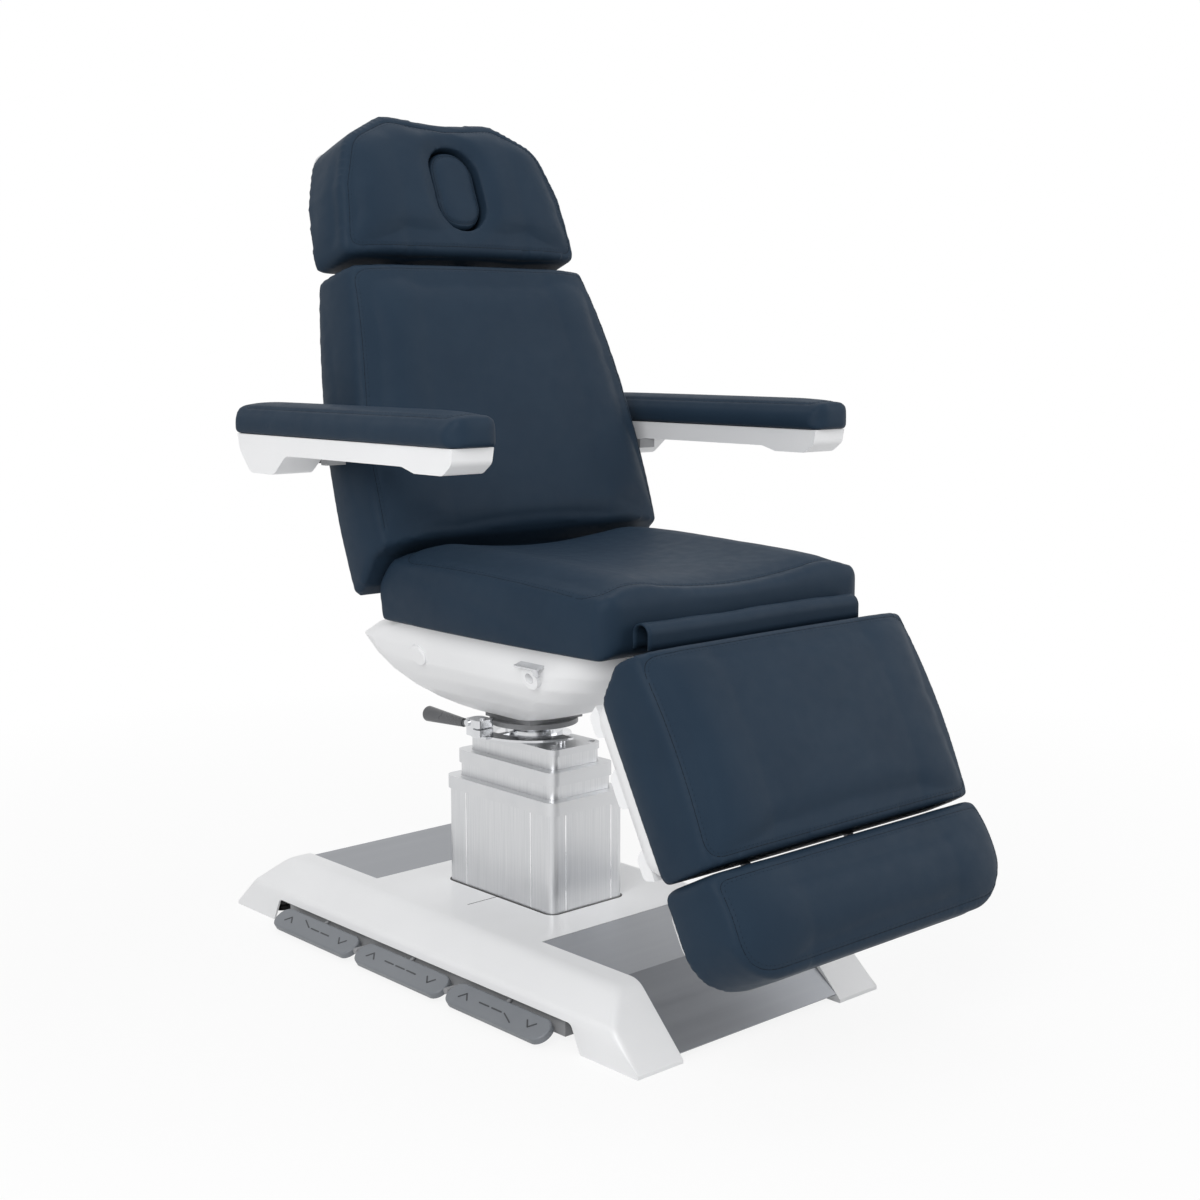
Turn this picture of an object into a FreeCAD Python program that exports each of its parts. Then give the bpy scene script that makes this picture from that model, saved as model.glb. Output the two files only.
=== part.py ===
"""Electric treatment chair: swivelling lift column, hinged back, head, arm, leg and foot sections."""
import FreeCAD
import Part

import math
import os

# Driving dimensions in millimetres and degrees. Lengths along Y count from the column axis,
# the patient faces -Y, +X is the patient's left.
COLUMN_Y = 125.2            # column axis behind the middle of the chair's outline
CLEAR = 0.5                 # general clearance between separate pieces
RUN_FIT = 0.05              # radial clearance of pins and sliding fits

# Base
BASE_HALF_WIDTH = 282.0
BASE_HALF_LENGTH = 571.0
BASE_WALL = 4.0
DECK_Z = 108.0
RAIL_WIDTH = 97.0           # from a rail's inner face to its outer one
RAIL_FALL_WIDTH = 56.0      # outer part of a rail's top, which turns down
RAIL_SIDE_Z = 62.0          # height of the rail's outer edge
RAIL_UNDER_Z = 45.0         # underside of the rail between its feet
RAIL_FOOT_LENGTH = 130.0
RAIL_SLOPE_Y = 470.0        # where the sloping end of a rail starts
BRIDGE_HALF_LENGTH = 236.0
PLATE_THICKNESS = 3.0
LEDGE_WIDTH = 9.0           # shelf on a rail that carries the plates
LEDGE_DEPTH = 5.0
PLATE_BEND_Y = 445.0
PLATE_LIP_Z = 14.0
FRAME_Z = 22.0              # underside of the steel base frame
FRAME_TUBE = 30.0
COLUMN_PLATE = 10.0         # thickness of the plate the column stands on
FOOT_PAD_RADIUS = 18.0
FOOT_PAD_HEIGHT = 8.0
FOOT_STEM_RADIUS = 5.0
FOOT_Y = 490.0
FOOT_INSET = 50.0           # from a rail's outer face to its levelling feet
CONTROL_GAP = 14.0          # from the column to the control unit
CONTROL_SIDE_GAP = 41.0     # from the control unit to the frame's long tube
CONTROL_HALF_LENGTH = 115.0

# Pedals: rocker pads that lean outwards along the right rail
PEDAL_LENGTH = 250.0
PEDAL_WIDTH = 46.0
PEDAL_THICKNESS = 12.0
PEDAL_GAP = 14.0
PEDAL_EDGE_Z = 40.0         # upper edge of a pad's face
PEDAL_SIDE_GAP = 3.0        # from the rail's outer face to that edge
PEDAL_TILT_DEG = 30.0
PEDAL_SHAFT_RADIUS = 3.5
PEDAL_POST_RADIUS = 5.5
PEDAL_BAR_LOW_Z = 14.0
PEDAL_BAR_HEIGHT = 34.0
PEDAL_BAR_GAP = 9.0         # from the rail's outer face in to the pedal bar

# Lift column: three telescoping tubes
COLUMN_HALF_X = 86.0
COLUMN_HALF_Y = 147.0
COLUMN_CORNER = 16.0
COLUMN_WALL = 5.0
COLUMN_STEP = 15.0          # each inner tube is smaller by this on every side
COLLAR_LIP = 4.0
COLLAR_HEIGHT = 24.0
OUTER_TOP_Z = 284.0
COLLAR_REVEAL = 24.0        # tube showing between one collar and the next
HEAD_PLATE_THICKNESS = 12.0
GLIDE_LENGTH = 40.0
SCREW_RADIUS = 9.0          # base stage of the lift screw
SCREW_WALL = 4.0
MOTOR_HEIGHT = 80.0
SLEEVE_TOP_Z = 262.0

# Swivel and its lock
HUB_RADIUS = 52.0
HUB_HEIGHT = 26.0
TURNTABLE_RADIUS = 80.0
TURNTABLE_THICKNESS = 9.0
LOCK_X = 110.0
LOCK_Y = 20.0
LOCK_BLOCK_HALF_X = 18.0
LOCK_BLOCK_HALF_Y = 21.0
LOCK_BLOCK_HEIGHT = 29.0
LOCK_BLOCK_SLIT = 3.0
LOCK_BOLT_RADIUS = 6.0
LOCK_BOLT_HEAD = 3.0
LOCK_STRAP_RISE = 10.0      # from the head plate up to the strap
LOCK_STRAP_THICKNESS = 4.0
LOCK_STRAP_GAP = 26.0       # from the hub out to the strap
LOCK_POST_RADIUS = 7.0
LOCK_POST_X = 14.0
LOCK_HANDLE_LENGTH = 130.0
LOCK_HANDLE_RADIUS = 14.5
LOCK_TIP_RADIUS = 8.0
LOCK_NECK_RADIUS = 6.0
LOCK_NECK_LENGTH = 22.0
LOCK_PIN_RADIUS = 3.5

# Seat section
SEAT_BOTTOM_Z = 627.0
SEAT_HALF_WIDTH = 302.0
SEAT_REAR_Y = 60.0
SEAT_FRONT_Y = -510.0
SEAT_HEIGHT = 118.0
SEAT_FRONT_DROP = 14.0
SEAT_VALLEY = 16.0
SEAT_REAR_ROUND = 80.0
SEAT_CORNER = 46.0          # rounding of the seat's front corners in plan
SEAT_SHOULDER = 14.0        # height of a bolster above the seat's side edge
SIDE_TUCK = 7.0             # how far a cushion's edges draw in from its widest line
BOARD_THICKNESS = 12.0
BOARD_INSET = 46.0
SEAT_TUBE = 30.0
SEAT_TUBE_X = 145.0
EAR_THICKNESS = 10.0
CARRIER_HALF = 62.0
HULL_WALL = 4.0
HULL_FLARE = 2.6            # how fast the hull widens above its keel
HULL_RIB_X = 200.0
HULL_RIB_Y = (-330.0, -60.0)
HULL_RIB_DEPTH = 50.0
HULL_TOP_HALF = 270.0
HULL_BOTTOM_Z = 442.0
HULL_KEEL_HALF = 86.0
HULL_FRONT_Y = -472.0
HULL_REAR_Y = 112.0
HULL_BULGE_Y = 206.0        # rearmost line of the hull
HULL_BULGE = 0.8            # height of that line, as a share of the hull's depth
CAP_RADIUS = 19.0
CAP_Y = -10.0
CAP_Z = 572.0
SOCKET_RADIUS = 19.0
SOCKET_Y = -312.0
SOCKET_Z = 578.0
SOCKET_BORE_RADIUS = 9.0
SOCKET_BORE_DEPTH = 12.0

# Back section, measured in its own flat frame: U from the hinge to the head, N out of the cushion
BACK_HINGE_Y = 105.0
BACK_HINGE_Z = 630.0
BACK_TRAVEL_DEG = 72.5
BACK_REAR_N = 14.0
BACK_THICKNESS = 114.0
BACK_CROWN = 18.0
BACK_TOP_U = 588.0
BACK_LOW_U = 100.0
BACK_LOW_HALF = 324.0
BACK_MID_HALF = 321.0
BACK_TOP_HALF = 274.0
BACK_SHELL_DEPTH = 27.5
SHELL_WALL = 4.0
SHELL_INSET = 14.0
BACK_TUBE = 24.0
BACK_TUBE_X = 190.0
HINGE_PIN_RADIUS = 8.0
HINGE_EAR_RADIUS = 20.0

# Head section
HEAD_GAP = 20.0
HEAD_TILT_DEG = 3.0
HEAD_LENGTH = 262.0
HEAD_LOW_HALF = 264.0
HEAD_TOP_HALF = 216.0
HEAD_EAR_RISE = 14.0
HEAD_SHELL_DEPTH = 23.5
HEAD_BAR_X = 70.0
HEAD_BAR_RADIUS = 9.0
PLUG_HALF_WIDTH = 54.0
PLUG_HALF_LENGTH = 78.0
PLUG_U = 132.0

# Arm sections
ARM_INNER_X = 356.0
ARM_WIDTH = 92.0
ARM_REAR_Y = 266.0
ARM_FRONT_Y = -352.0
ARM_TOP_Z = 988.0
ARM_PAD_THICKNESS = 46.0
ARM_BODY_DEPTH = 32.0
ARM_PIVOT_U = 290.0
ARM_PIVOT_N = 1.0
ARM_SHAFT_RADIUS = 10.0
ARM_HUB_RADIUS = 26.0
ARM_HUB_WIDTH = 30.0

# Leg and foot sections, measured in their own flat frame: A from the hinge to the toes, H upwards
LEG_HINGE_Y = -530.0
LEG_HINGE_Z = 649.0
LEG_DROP_DEG = 62.1
LEG_END_A = 20.0
LEG_LENGTH = 322.0
LEG_HALF_WIDTH = 310.0
LEG_BACK_H = -52.0
LEG_THICKNESS = 110.0
LEG_CROWN = 18.0
LEG_SHELL_DEPTH = 42.0
LEG_LUG_DEPTH = 20.0
LEG_LUGS = ((54.0, 104.0), (150.0, 216.0), (276.0, 328.0))
LEG_TUBE = 20.0
LEG_TUBE_X = 190.0
HINGE_TUBE_RADIUS = 9.0
FOOT_GAP = 12.0
FOOT_LENGTH = 160.0
FOOT_HALF_WIDTH = 312.0
FOOT_CORNER = 88.0
FOOT_SHELL_DEPTH = 30.0
FOOT_BAR_X = 120.0
FOOT_BAR_RADIUS = 8.0
FLAP_RADIUS = 18.0
FLAP_THICKNESS = 3.5
FLAP_TAIL = 3.0
FLAP_RISE = 18.0            # straight part of the flap above the hinge
FLAP_HALF_WIDTH = 240.0

# Section drives inside the hull
BACK_MOTOR_Y = -250.0
BACK_TUBE_END_Y = -66.0
BACK_ROD_END_Y = -150.0
BACK_ROD_REACH = 32.0
LEG_MOTOR_Y = -90.0
LEG_TUBE_END_Y = -340.0
LEG_ROD_END_Y = -180.0
LEG_ROD_REACH = 37.0
DRIVE_BORE_INSET = 5.0      # from the motor's middle to the bore's end
MOTOR_HALF_WIDTH = 22.0
MOTOR_HALF_LENGTH = 24.0
MOTOR_DROP = 60.0
MOTOR_RISE = 20.0
MOTOR_PIN_RADIUS = 6.0
DRIVE_X = 105.0
DRIVE_Z = 575.0
DRIVE_TUBE_RADIUS = 17.0
DRIVE_ROD_RADIUS = 8.0
DRIVE_PIN_RADIUS = 5.0
BACK_LEVER = (43.0, -56.0)
LEG_LEVER = (38.0, -71.0)
LEVER_THICKNESS = 8.0
LEVER_HALF_WIDTH = 9.5

# Sizes that follow from the ones above
RAIL_INNER_X = BASE_HALF_WIDTH - RAIL_WIDTH
RAIL_SHOULDER_X = BASE_HALF_WIDTH - RAIL_FALL_WIDTH
FOOT_X = BASE_HALF_WIDTH - FOOT_INSET
MIDDLE_TOP_Z = OUTER_TOP_Z + COLLAR_HEIGHT + COLLAR_REVEAL
INNER_TOP_Z = MIDDLE_TOP_Z + COLLAR_HEIGHT + COLLAR_REVEAL
HEAD_TOP_Z = INNER_TOP_Z + HEAD_PLATE_THICKNESS
HUB_TOP_Z = HEAD_TOP_Z + HUB_HEIGHT
TURNTABLE_Z = HUB_TOP_Z + CLEAR
TURNTABLE_TOP_Z = TURNTABLE_Z + TURNTABLE_THICKNESS
LOCK_STRAP_Z = HEAD_TOP_Z + LOCK_STRAP_RISE
LOCK_BLOCK_Z = LOCK_STRAP_Z + LOCK_STRAP_THICKNESS + CLEAR
SEAT_TUBE_TOP_Z = SEAT_BOTTOM_Z - BOARD_THICKNESS
SEAT_TUBE_LOW_Z = SEAT_TUBE_TOP_Z - SEAT_TUBE
HULL_RIM_Z = SEAT_BOTTOM_Z - 3.0
HEAD_HINGE_U = BACK_TOP_U + 0.5 * HEAD_GAP
BACK_TUBE_TOP_N = BACK_REAR_N
BACK_TUBE_LOW_N = BACK_TUBE_TOP_N - BACK_TUBE
HEAD_HINGE_N = 0.5 * (BACK_TUBE_LOW_N + BACK_TUBE_TOP_N)
HEAD_REAR_N = BACK_TUBE_TOP_N - HEAD_HINGE_N
FOOT_START_A = LEG_END_A + LEG_LENGTH + FOOT_GAP
ARM_MID_X = ARM_INNER_X + 0.5 * ARM_WIDTH
ARM_PAD_LOW_Z = ARM_TOP_Z - ARM_PAD_THICKNESS
ARM_BODY_LOW_Z = ARM_PAD_LOW_Z - ARM_BODY_DEPTH
PEDAL_EDGE_X = -(BASE_HALF_WIDTH + PEDAL_SIDE_GAP)
PEDAL_PITCH = PEDAL_LENGTH + PEDAL_GAP


def vec(x, y, z):
    """Return a vector."""
    return FreeCAD.Vector(x, y, z)


def box(x0, x1, y0, y1, z0, z1):
    """Return a box between two corners."""
    return Part.makeBox(x1 - x0, y1 - y0, z1 - z0, vec(x0, y0, z0))


def rod_x(radius, x0, x1, y, z):
    """Return a round bar along X."""
    return Part.makeCylinder(radius, x1 - x0, vec(x0, y, z), vec(1, 0, 0))


def rod_y(radius, y0, y1, x, z):
    """Return a round bar along Y."""
    return Part.makeCylinder(radius, y1 - y0, vec(x, y0, z), vec(0, 1, 0))


def rod_z(radius, z0, z1, x, y):
    """Return a round bar along Z."""
    return Part.makeCylinder(radius, z1 - z0, vec(x, y, z0), vec(0, 0, 1))


def rounded_wire(corners, place):
    """Return a closed wire through corners (a, b, radius), rounded with tangent arcs.

    place turns a pair (a, b) into a point in space.
    """
    edges = []
    ends = []
    count = len(corners)
    for i in range(count):
        a, b, radius = corners[i]
        pa, pb, _ = corners[i - 1]
        na, nb, _ = corners[(i + 1) % count]
        before = math.hypot(pa - a, pb - b)
        after = math.hypot(na - a, nb - b)
        ua, ub = (pa - a) / before, (pb - b) / before
        va, vb = (na - a) / after, (nb - b) / after
        turn = math.acos(max(-1.0, min(1.0, ua * va + ub * vb)))
        if radius <= 0.0 or turn > math.pi - 1e-6:
            ends.append(((a, b), None, (a, b)))
            continue
        reach = radius / math.tan(0.5 * turn)
        ha, hb = ua + va, ub + vb
        half = math.hypot(ha, hb)
        depth = radius / math.sin(0.5 * turn) - radius
        middle = (a + ha / half * depth, b + hb / half * depth)
        ends.append(((a + ua * reach, b + ub * reach), middle, (a + va * reach, b + vb * reach)))
    for i in range(count):
        start, middle, stop = ends[i]
        if middle is not None:
            edges.append(Part.Arc(place(*start), place(*middle), place(*stop)).toShape())
        follow = ends[(i + 1) % count][0]
        if math.hypot(follow[0] - stop[0], follow[1] - stop[1]) > 1e-6:
            edges.append(Part.LineSegment(place(*stop), place(*follow)).toShape())
    return Part.Wire(edges)


def prism_x(corners, x0, x1):
    """Extrude a rounded (y, z) outline along X."""
    wire = rounded_wire(corners, lambda a, b: vec(x0, a, b))
    return Part.Face(wire).extrude(vec(x1 - x0, 0, 0))


def prism_y(corners, y0, y1):
    """Extrude a rounded (x, z) outline along Y."""
    wire = rounded_wire(corners, lambda a, b: vec(a, y0, b))
    return Part.Face(wire).extrude(vec(0, y1 - y0, 0))


def prism_z(corners, z0, z1):
    """Extrude a rounded (x, y) outline along Z."""
    wire = rounded_wire(corners, lambda a, b: vec(a, b, z0))
    return Part.Face(wire).extrude(vec(0, 0, z1 - z0))


def plate_corners(half_x, y0, y1, radius):
    """Return the corners of a rectangle that is centred on X."""
    return [(-half_x, y0, radius), (half_x, y0, radius), (half_x, y1, radius), (-half_x, y1, radius)]


def mirrored(shape):
    """Return the shape mirrored to the other side of the chair."""
    return shape.mirror(vec(0, 0, 0), vec(1, 0, 0))


def both_sides(shape):
    """Return the shape with its mirror image, as a group of separate solids."""
    return Part.makeCompound([shape, mirrored(shape)])


def on_back(shape):
    """Turn a piece from the back's flat frame up into the stored pose."""
    turned = shape.copy()
    turned.rotate(vec(0, 0, 0), vec(1, 0, 0), BACK_TRAVEL_DEG)
    turned.translate(vec(0, BACK_HINGE_Y, BACK_HINGE_Z))
    return turned


def on_head(shape):
    """Turn a piece from the head's flat frame, whose origin is the head hinge, into the stored pose."""
    turned = shape.copy()
    turned.rotate(vec(0, 0, 0), vec(1, 0, 0), -HEAD_TILT_DEG)
    turned.translate(vec(0, HEAD_HINGE_U, HEAD_HINGE_N))
    return on_back(turned)


def on_leg(shape):
    """Turn a piece from the leg's flat frame, toes towards -Y, down into the stored pose."""
    turned = shape.copy()
    turned.rotate(vec(0, 0, 0), vec(1, 0, 0), LEG_DROP_DEG)
    turned.translate(vec(0, LEG_HINGE_Y, LEG_HINGE_Z))
    return turned


def cushion_section(y, half, low, seam, crest, crest_x, middle):
    """Return one cross-section of a cushion: flat below, drawn-in sides, shoulders and a crowned middle."""
    edge = half - SIDE_TUCK
    waist = 0.5 * (low + seam)
    shoulder_x = edge - 0.28 * (edge - crest_x)
    shoulder_z = seam + 0.62 * (crest - seam)
    left_low, right_low = vec(-edge, y, low), vec(edge, y, low)
    left_seam, right_seam = vec(-edge, y, seam), vec(edge, y, seam)
    left_crest, right_crest = vec(-crest_x, y, crest), vec(crest_x, y, crest)
    return Part.Wire([
        Part.LineSegment(left_low, right_low).toShape(),
        Part.Arc(right_low, vec(half, y, waist), right_seam).toShape(),
        Part.Arc(right_seam, vec(shoulder_x, y, shoulder_z), right_crest).toShape(),
        Part.Arc(right_crest, vec(0, y, middle), left_crest).toShape(),
        Part.Arc(left_crest, vec(-shoulder_x, y, shoulder_z), left_seam).toShape(),
        Part.Arc(left_seam, vec(-half, y, waist), left_low).toShape(),
    ])


def loft(wires, ruled=False):
    """Return the solid loft through a row of wires."""
    return Part.makeLoft(wires, True, ruled)


def rail_solid(inset):
    """Return one base rail on the +X side, drawn in by inset on every outer face."""
    end = BASE_HALF_LENGTH - inset
    slope = RAIL_SLOPE_Y - inset
    top = DECK_Z - inset
    under = RAIL_UNDER_Z if inset == 0.0 else -1.0
    foot = BASE_HALF_LENGTH - RAIL_FOOT_LENGTH
    low = 0.0 if inset == 0.0 else -1.0
    crown = 22.0
    if inset == 0.0:
        side = [(end, low, 0), (end, 6.0, 4), (slope, top, 40), (-slope, top, 40), (-end, 6.0, 4),
                (-end, low, 0), (-foot, low, 6), (-foot + crown, under, 12), (foot - crown, under, 12),
                (foot, low, 6)]
    else:
        side = [(end, low, 0), (slope, top, 36), (-slope, top, 36), (-end, low, 0)]
    cross = [(RAIL_INNER_X + inset, low, 0), (BASE_HALF_WIDTH - inset, low, 0),
             (BASE_HALF_WIDTH - inset, RAIL_SIDE_Z - inset, 18),
             (RAIL_SHOULDER_X - 0.4 * inset, top, 40), (RAIL_INNER_X + inset, top, 0)]
    body = prism_x(side, RAIL_INNER_X + inset, BASE_HALF_WIDTH - inset)
    return body.common(prism_y(cross, -BASE_HALF_LENGTH, BASE_HALF_LENGTH))


def base_cover():
    """Moulded H-shaped cover: two footed rails and the bridge that surrounds the column."""
    rail = rail_solid(0.0)
    bridge = box(-RAIL_INNER_X, RAIL_INNER_X, -BRIDGE_HALF_LENGTH, BRIDGE_HALF_LENGTH, RAIL_UNDER_Z, DECK_Z)
    cover = rail.fuse(mirrored(rail)).fuse(bridge)
    hollow = rail_solid(BASE_WALL)
    inner = BRIDGE_HALF_LENGTH - BASE_WALL
    passage = box(-BASE_HALF_WIDTH + BASE_WALL + 20.0, BASE_HALF_WIDTH - BASE_WALL - 20.0, -inner, inner,
                  -1.0, RAIL_SIDE_Z - BASE_WALL)
    deck_hollow = box(-RAIL_INNER_X - BASE_WALL, RAIL_INNER_X + BASE_WALL, -inner, inner,
                      -1.0, DECK_Z - BASE_WALL)
    opening = prism_z(plate_corners(COLUMN_HALF_X + CLEAR, -COLUMN_HALF_Y - CLEAR, COLUMN_HALF_Y + CLEAR,
                                    COLUMN_CORNER + CLEAR), 0.0, DECK_Z + 1.0)
    cover = cover.cut([hollow, mirrored(hollow), passage, deck_hollow, opening])
    shelf = DECK_Z - CLEAR - PLATE_THICKNESS
    for side in (-1, 1):
        ys = sorted((side * (BRIDGE_HALF_LENGTH + 10.0), side * (PLATE_BEND_Y - 20.0)))
        ledge = box(RAIL_INNER_X - LEDGE_WIDTH, RAIL_INNER_X + BASE_WALL, ys[0], ys[1], shelf - LEDGE_DEPTH,
                    shelf)
        cover = cover.fuse([ledge, mirrored(ledge)])
    return cover.removeSplitter()


def floor_plate(side):
    """Brushed plate between the rails: level beside the bridge, then sloping to the floor."""
    y0 = BRIDGE_HALF_LENGTH + CLEAR
    y2 = BASE_HALF_LENGTH - 8.0
    top = DECK_Z - CLEAR
    drop = top - PLATE_LIP_Z
    lean = math.hypot(y2 - PLATE_BEND_Y, drop)
    shift_y = PLATE_THICKNESS * drop / lean
    shift_z = PLATE_THICKNESS * (y2 - PLATE_BEND_Y) / lean
    knee = PLATE_BEND_Y - PLATE_THICKNESS * math.tan(0.5 * math.atan2(drop, y2 - PLATE_BEND_Y))
    outline = [(side * y0, top, 0), (side * PLATE_BEND_Y, top, 0), (side * y2, PLATE_LIP_Z, 0),
               (side * (y2 - shift_y), PLATE_LIP_Z - shift_z, 0), (side * knee, top - PLATE_THICKNESS, 0),
               (side * y0, top - PLATE_THICKNESS, 0)]
    return prism_x(outline, -RAIL_INNER_X + CLEAR, RAIL_INNER_X - CLEAR)


def base_frame():
    """Welded steel frame under the cover: a column plate, two cross tubes and two long tubes."""
    top = FRAME_Z + FRAME_TUBE
    inner_y = COLUMN_HALF_Y + 8.0
    plate = box(-RAIL_INNER_X, RAIL_INNER_X, -inner_y, inner_y, FRAME_Z, FRAME_Z + COLUMN_PLATE)
    frame = plate
    for side in (-1, 1):
        along = box(FOOT_X - 0.5 * FRAME_TUBE, FOOT_X + 0.5 * FRAME_TUBE, -FOOT_Y - 20.0, FOOT_Y + 20.0,
                    FRAME_Z, top)
        if side < 0:
            along = mirrored(along)
        across = box(-FOOT_X, FOOT_X, side * (inner_y + 15.0) - 15.0, side * (inner_y + 15.0) + 15.0,
                     FRAME_Z, top)
        frame = frame.fuse(along).fuse(across)
    for x in (-FOOT_X, FOOT_X):
        for y in (-FOOT_Y, FOOT_Y):
            frame = frame.cut(rod_z(FOOT_STEM_RADIUS + RUN_FIT, FRAME_Z - 1.0, FRAME_Z + 12.0, x, y))
    return frame.removeSplitter()


def levelling_feet():
    """Four adjustable feet: a rubber-soled pad on a stem."""
    feet = []
    for x in (-FOOT_X, FOOT_X):
        for y in (-FOOT_Y, FOOT_Y):
            pad = Part.makeCone(FOOT_PAD_RADIUS, FOOT_PAD_RADIUS - 4.0, FOOT_PAD_HEIGHT, vec(x, y, 0))
            nut = rod_z(FOOT_STEM_RADIUS + 5.0, FOOT_PAD_HEIGHT, FRAME_Z, x, y)
            stem = rod_z(FOOT_STEM_RADIUS, FRAME_Z, FRAME_Z + 12.0, x, y)
            feet.append(pad.fuse(nut).fuse(stem).removeSplitter())
    return Part.makeCompound(feet)


def column_tube(steps, z0, z1):
    """Return one rounded rectangular column tube, drawn in by a number of steps."""
    inset = steps * COLUMN_STEP
    half_x, half_y = COLUMN_HALF_X - inset, COLUMN_HALF_Y - inset
    corner = COLUMN_CORNER - 2.0 * steps
    outer = prism_z(plate_corners(half_x, -half_y, half_y, corner), z0, z1)
    inner = prism_z(plate_corners(half_x - COLUMN_WALL, -half_y + COLUMN_WALL, half_y - COLUMN_WALL,
                                  corner - COLUMN_WALL), z0 - 1.0, z1 + 1.0)
    return outer.cut(inner)


def column_collar(steps, z0):
    """Return the guide collar on top of a column tube, open for the next tube."""
    half_x = COLUMN_HALF_X - steps * COLUMN_STEP + COLLAR_LIP
    half_y = COLUMN_HALF_Y - steps * COLUMN_STEP + COLLAR_LIP
    pass_x = COLUMN_HALF_X - (steps + 1) * COLUMN_STEP + CLEAR
    pass_y = COLUMN_HALF_Y - (steps + 1) * COLUMN_STEP + CLEAR
    corner = COLUMN_CORNER - 2.0 * steps
    ring = prism_z(plate_corners(half_x, -half_y, half_y, corner + COLLAR_LIP), z0, z0 + COLLAR_HEIGHT)
    ring = ring.cut(prism_z(plate_corners(pass_x, -pass_y, pass_y, corner - 2.0 + CLEAR), z0 - 1.0,
                            z0 + COLLAR_HEIGHT + 1.0))
    return ring


def column_glides(steps, z0):
    """Slide blocks on the foot of a column tube, which run on the walls of the tube around it."""
    half_x = COLUMN_HALF_X - steps * COLUMN_STEP
    half_y = COLUMN_HALF_Y - steps * COLUMN_STEP
    reach = COLUMN_STEP - COLUMN_WALL - RUN_FIT
    blocks = []
    for side in (-1, 1):
        xs = sorted((side * half_x, side * (half_x + reach)))
        ys = sorted((side * half_y, side * (half_y + reach)))
        for shift in (-0.5, 0.5):
            blocks.append(box(xs[0], xs[1], shift * half_y - 14.0, shift * half_y + 14.0, z0,
                              z0 + GLIDE_LENGTH))
            blocks.append(box(shift * half_x - 10.0, shift * half_x + 10.0, ys[0], ys[1], z0,
                              z0 + GLIDE_LENGTH))
    return Part.makeCompound(blocks)


def screw_stage(inner_radius, z0, z1):
    """Return one hollow stage of the telescoping lift screw."""
    tube = rod_z(inner_radius + SCREW_WALL, z0, z1, 0, 0)
    return tube.cut(rod_z(inner_radius, z0 - 1.0, z1 + 1.0, 0, 0))


def lift_sleeve():
    """Middle stage of the lift screw, on a bridge across the foot of the middle tube."""
    low = FRAME_Z + 18.0
    sleeve = screw_stage(SCREW_RADIUS + RUN_FIT, low, SLEEVE_TOP_Z)
    reach = COLUMN_HALF_X - COLUMN_STEP - COLUMN_WALL
    bridge = box(-reach, reach, -16.0, 16.0, low, low + 12.0)
    bridge = bridge.cut(rod_z(SCREW_RADIUS + RUN_FIT, low - 1.0, low + 13.0, 0, 0))
    return sleeve.fuse(bridge).removeSplitter()


def column_head():
    """Head plate of the inner tube, with the four fixing holes that show from the side."""
    half_x = COLUMN_HALF_X - 2.0 * COLUMN_STEP + 3.0
    half_y = COLUMN_HALF_Y - 2.0 * COLUMN_STEP + 3.0
    plate = prism_z(plate_corners(half_x, -half_y, half_y, COLUMN_CORNER), INNER_TOP_Z, HEAD_TOP_Z)
    for x in (-1, 1):
        for y in (-1, 1):
            plate = plate.cut(rod_z(6.0, HEAD_TOP_Z - 6.0, HEAD_TOP_Z + 1.0, x * (half_x - 14.0),
                                    y * (half_y - 14.0)))
    return plate


def lift_motor():
    """Lift motor hung under the head plate inside the inner tube, and the outer stage of the lift screw."""
    z0 = INNER_TOP_Z - MOTOR_HEIGHT
    case = prism_z(plate_corners(34.0, -30.0, 86.0, 10.0), z0, INNER_TOP_Z)
    can = rod_z(24.0, z0 - 60.0, z0, 0, 58.0)
    tube = screw_stage(SCREW_RADIUS + SCREW_WALL + 2.0 * RUN_FIT, FRAME_Z + 58.0, z0)
    return Part.makeCompound([case.fuse(can).removeSplitter(), tube])


def swivel_hub():
    """Fixed hub of the swivel with the flange that is bolted to the head plate."""
    hub = rod_z(HUB_RADIUS, HEAD_TOP_Z, HUB_TOP_Z, 0, 0)
    return hub.fuse(rod_z(HUB_RADIUS + 16.0, HEAD_TOP_Z, HEAD_TOP_Z + 6.0, 0, 0)).removeSplitter()


def lock_bracket():
    """Curved strap round the hub, on a post, that the swivel lock clamps to."""
    z0, z1 = LOCK_STRAP_Z, LOCK_STRAP_Z + LOCK_STRAP_THICKNESS
    inner, outer = HUB_RADIUS + LOCK_STRAP_GAP, LOCK_X - 2.0
    middle = 0.5 * (inner + outer)
    ring = rod_z(outer, z0, z1, 0, 0).cut(rod_z(inner, z0 - 1.0, z1 + 1.0, 0, 0))
    strap = ring.common(box(-outer, 0.0, -outer, 0.0, z0 - 1.0, z1 + 1.0))
    post_y = -math.sqrt(middle * middle - LOCK_POST_X * LOCK_POST_X)
    post = rod_z(LOCK_POST_RADIUS, HEAD_TOP_Z, z0, -LOCK_POST_X, post_y)
    arm = box(-middle, -0.5 * HUB_RADIUS, -6.0, 6.0, z0, z1)
    heel = box(-HUB_RADIUS, -0.5 * HUB_RADIUS, -6.0, 6.0, HEAD_TOP_Z + 6.0, z0)
    keep_out = rod_z(HUB_RADIUS, HEAD_TOP_Z, HUB_TOP_Z, 0, 0)
    tab = rod_z(2.0 * LOCK_NECK_RADIUS, z0, z1, -LOCK_X, LOCK_Y)
    link = box(-LOCK_X - LOCK_NECK_RADIUS, -inner, -6.0, LOCK_Y, z0, z1)
    pivot = rod_z(LOCK_PIN_RADIUS, z1, LOCK_BLOCK_Z + 0.7 * LOCK_BLOCK_HEIGHT, -LOCK_X, LOCK_Y)
    return strap.fuse([post, arm, heel, tab, link, pivot]).cut(keep_out).removeSplitter()


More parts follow.
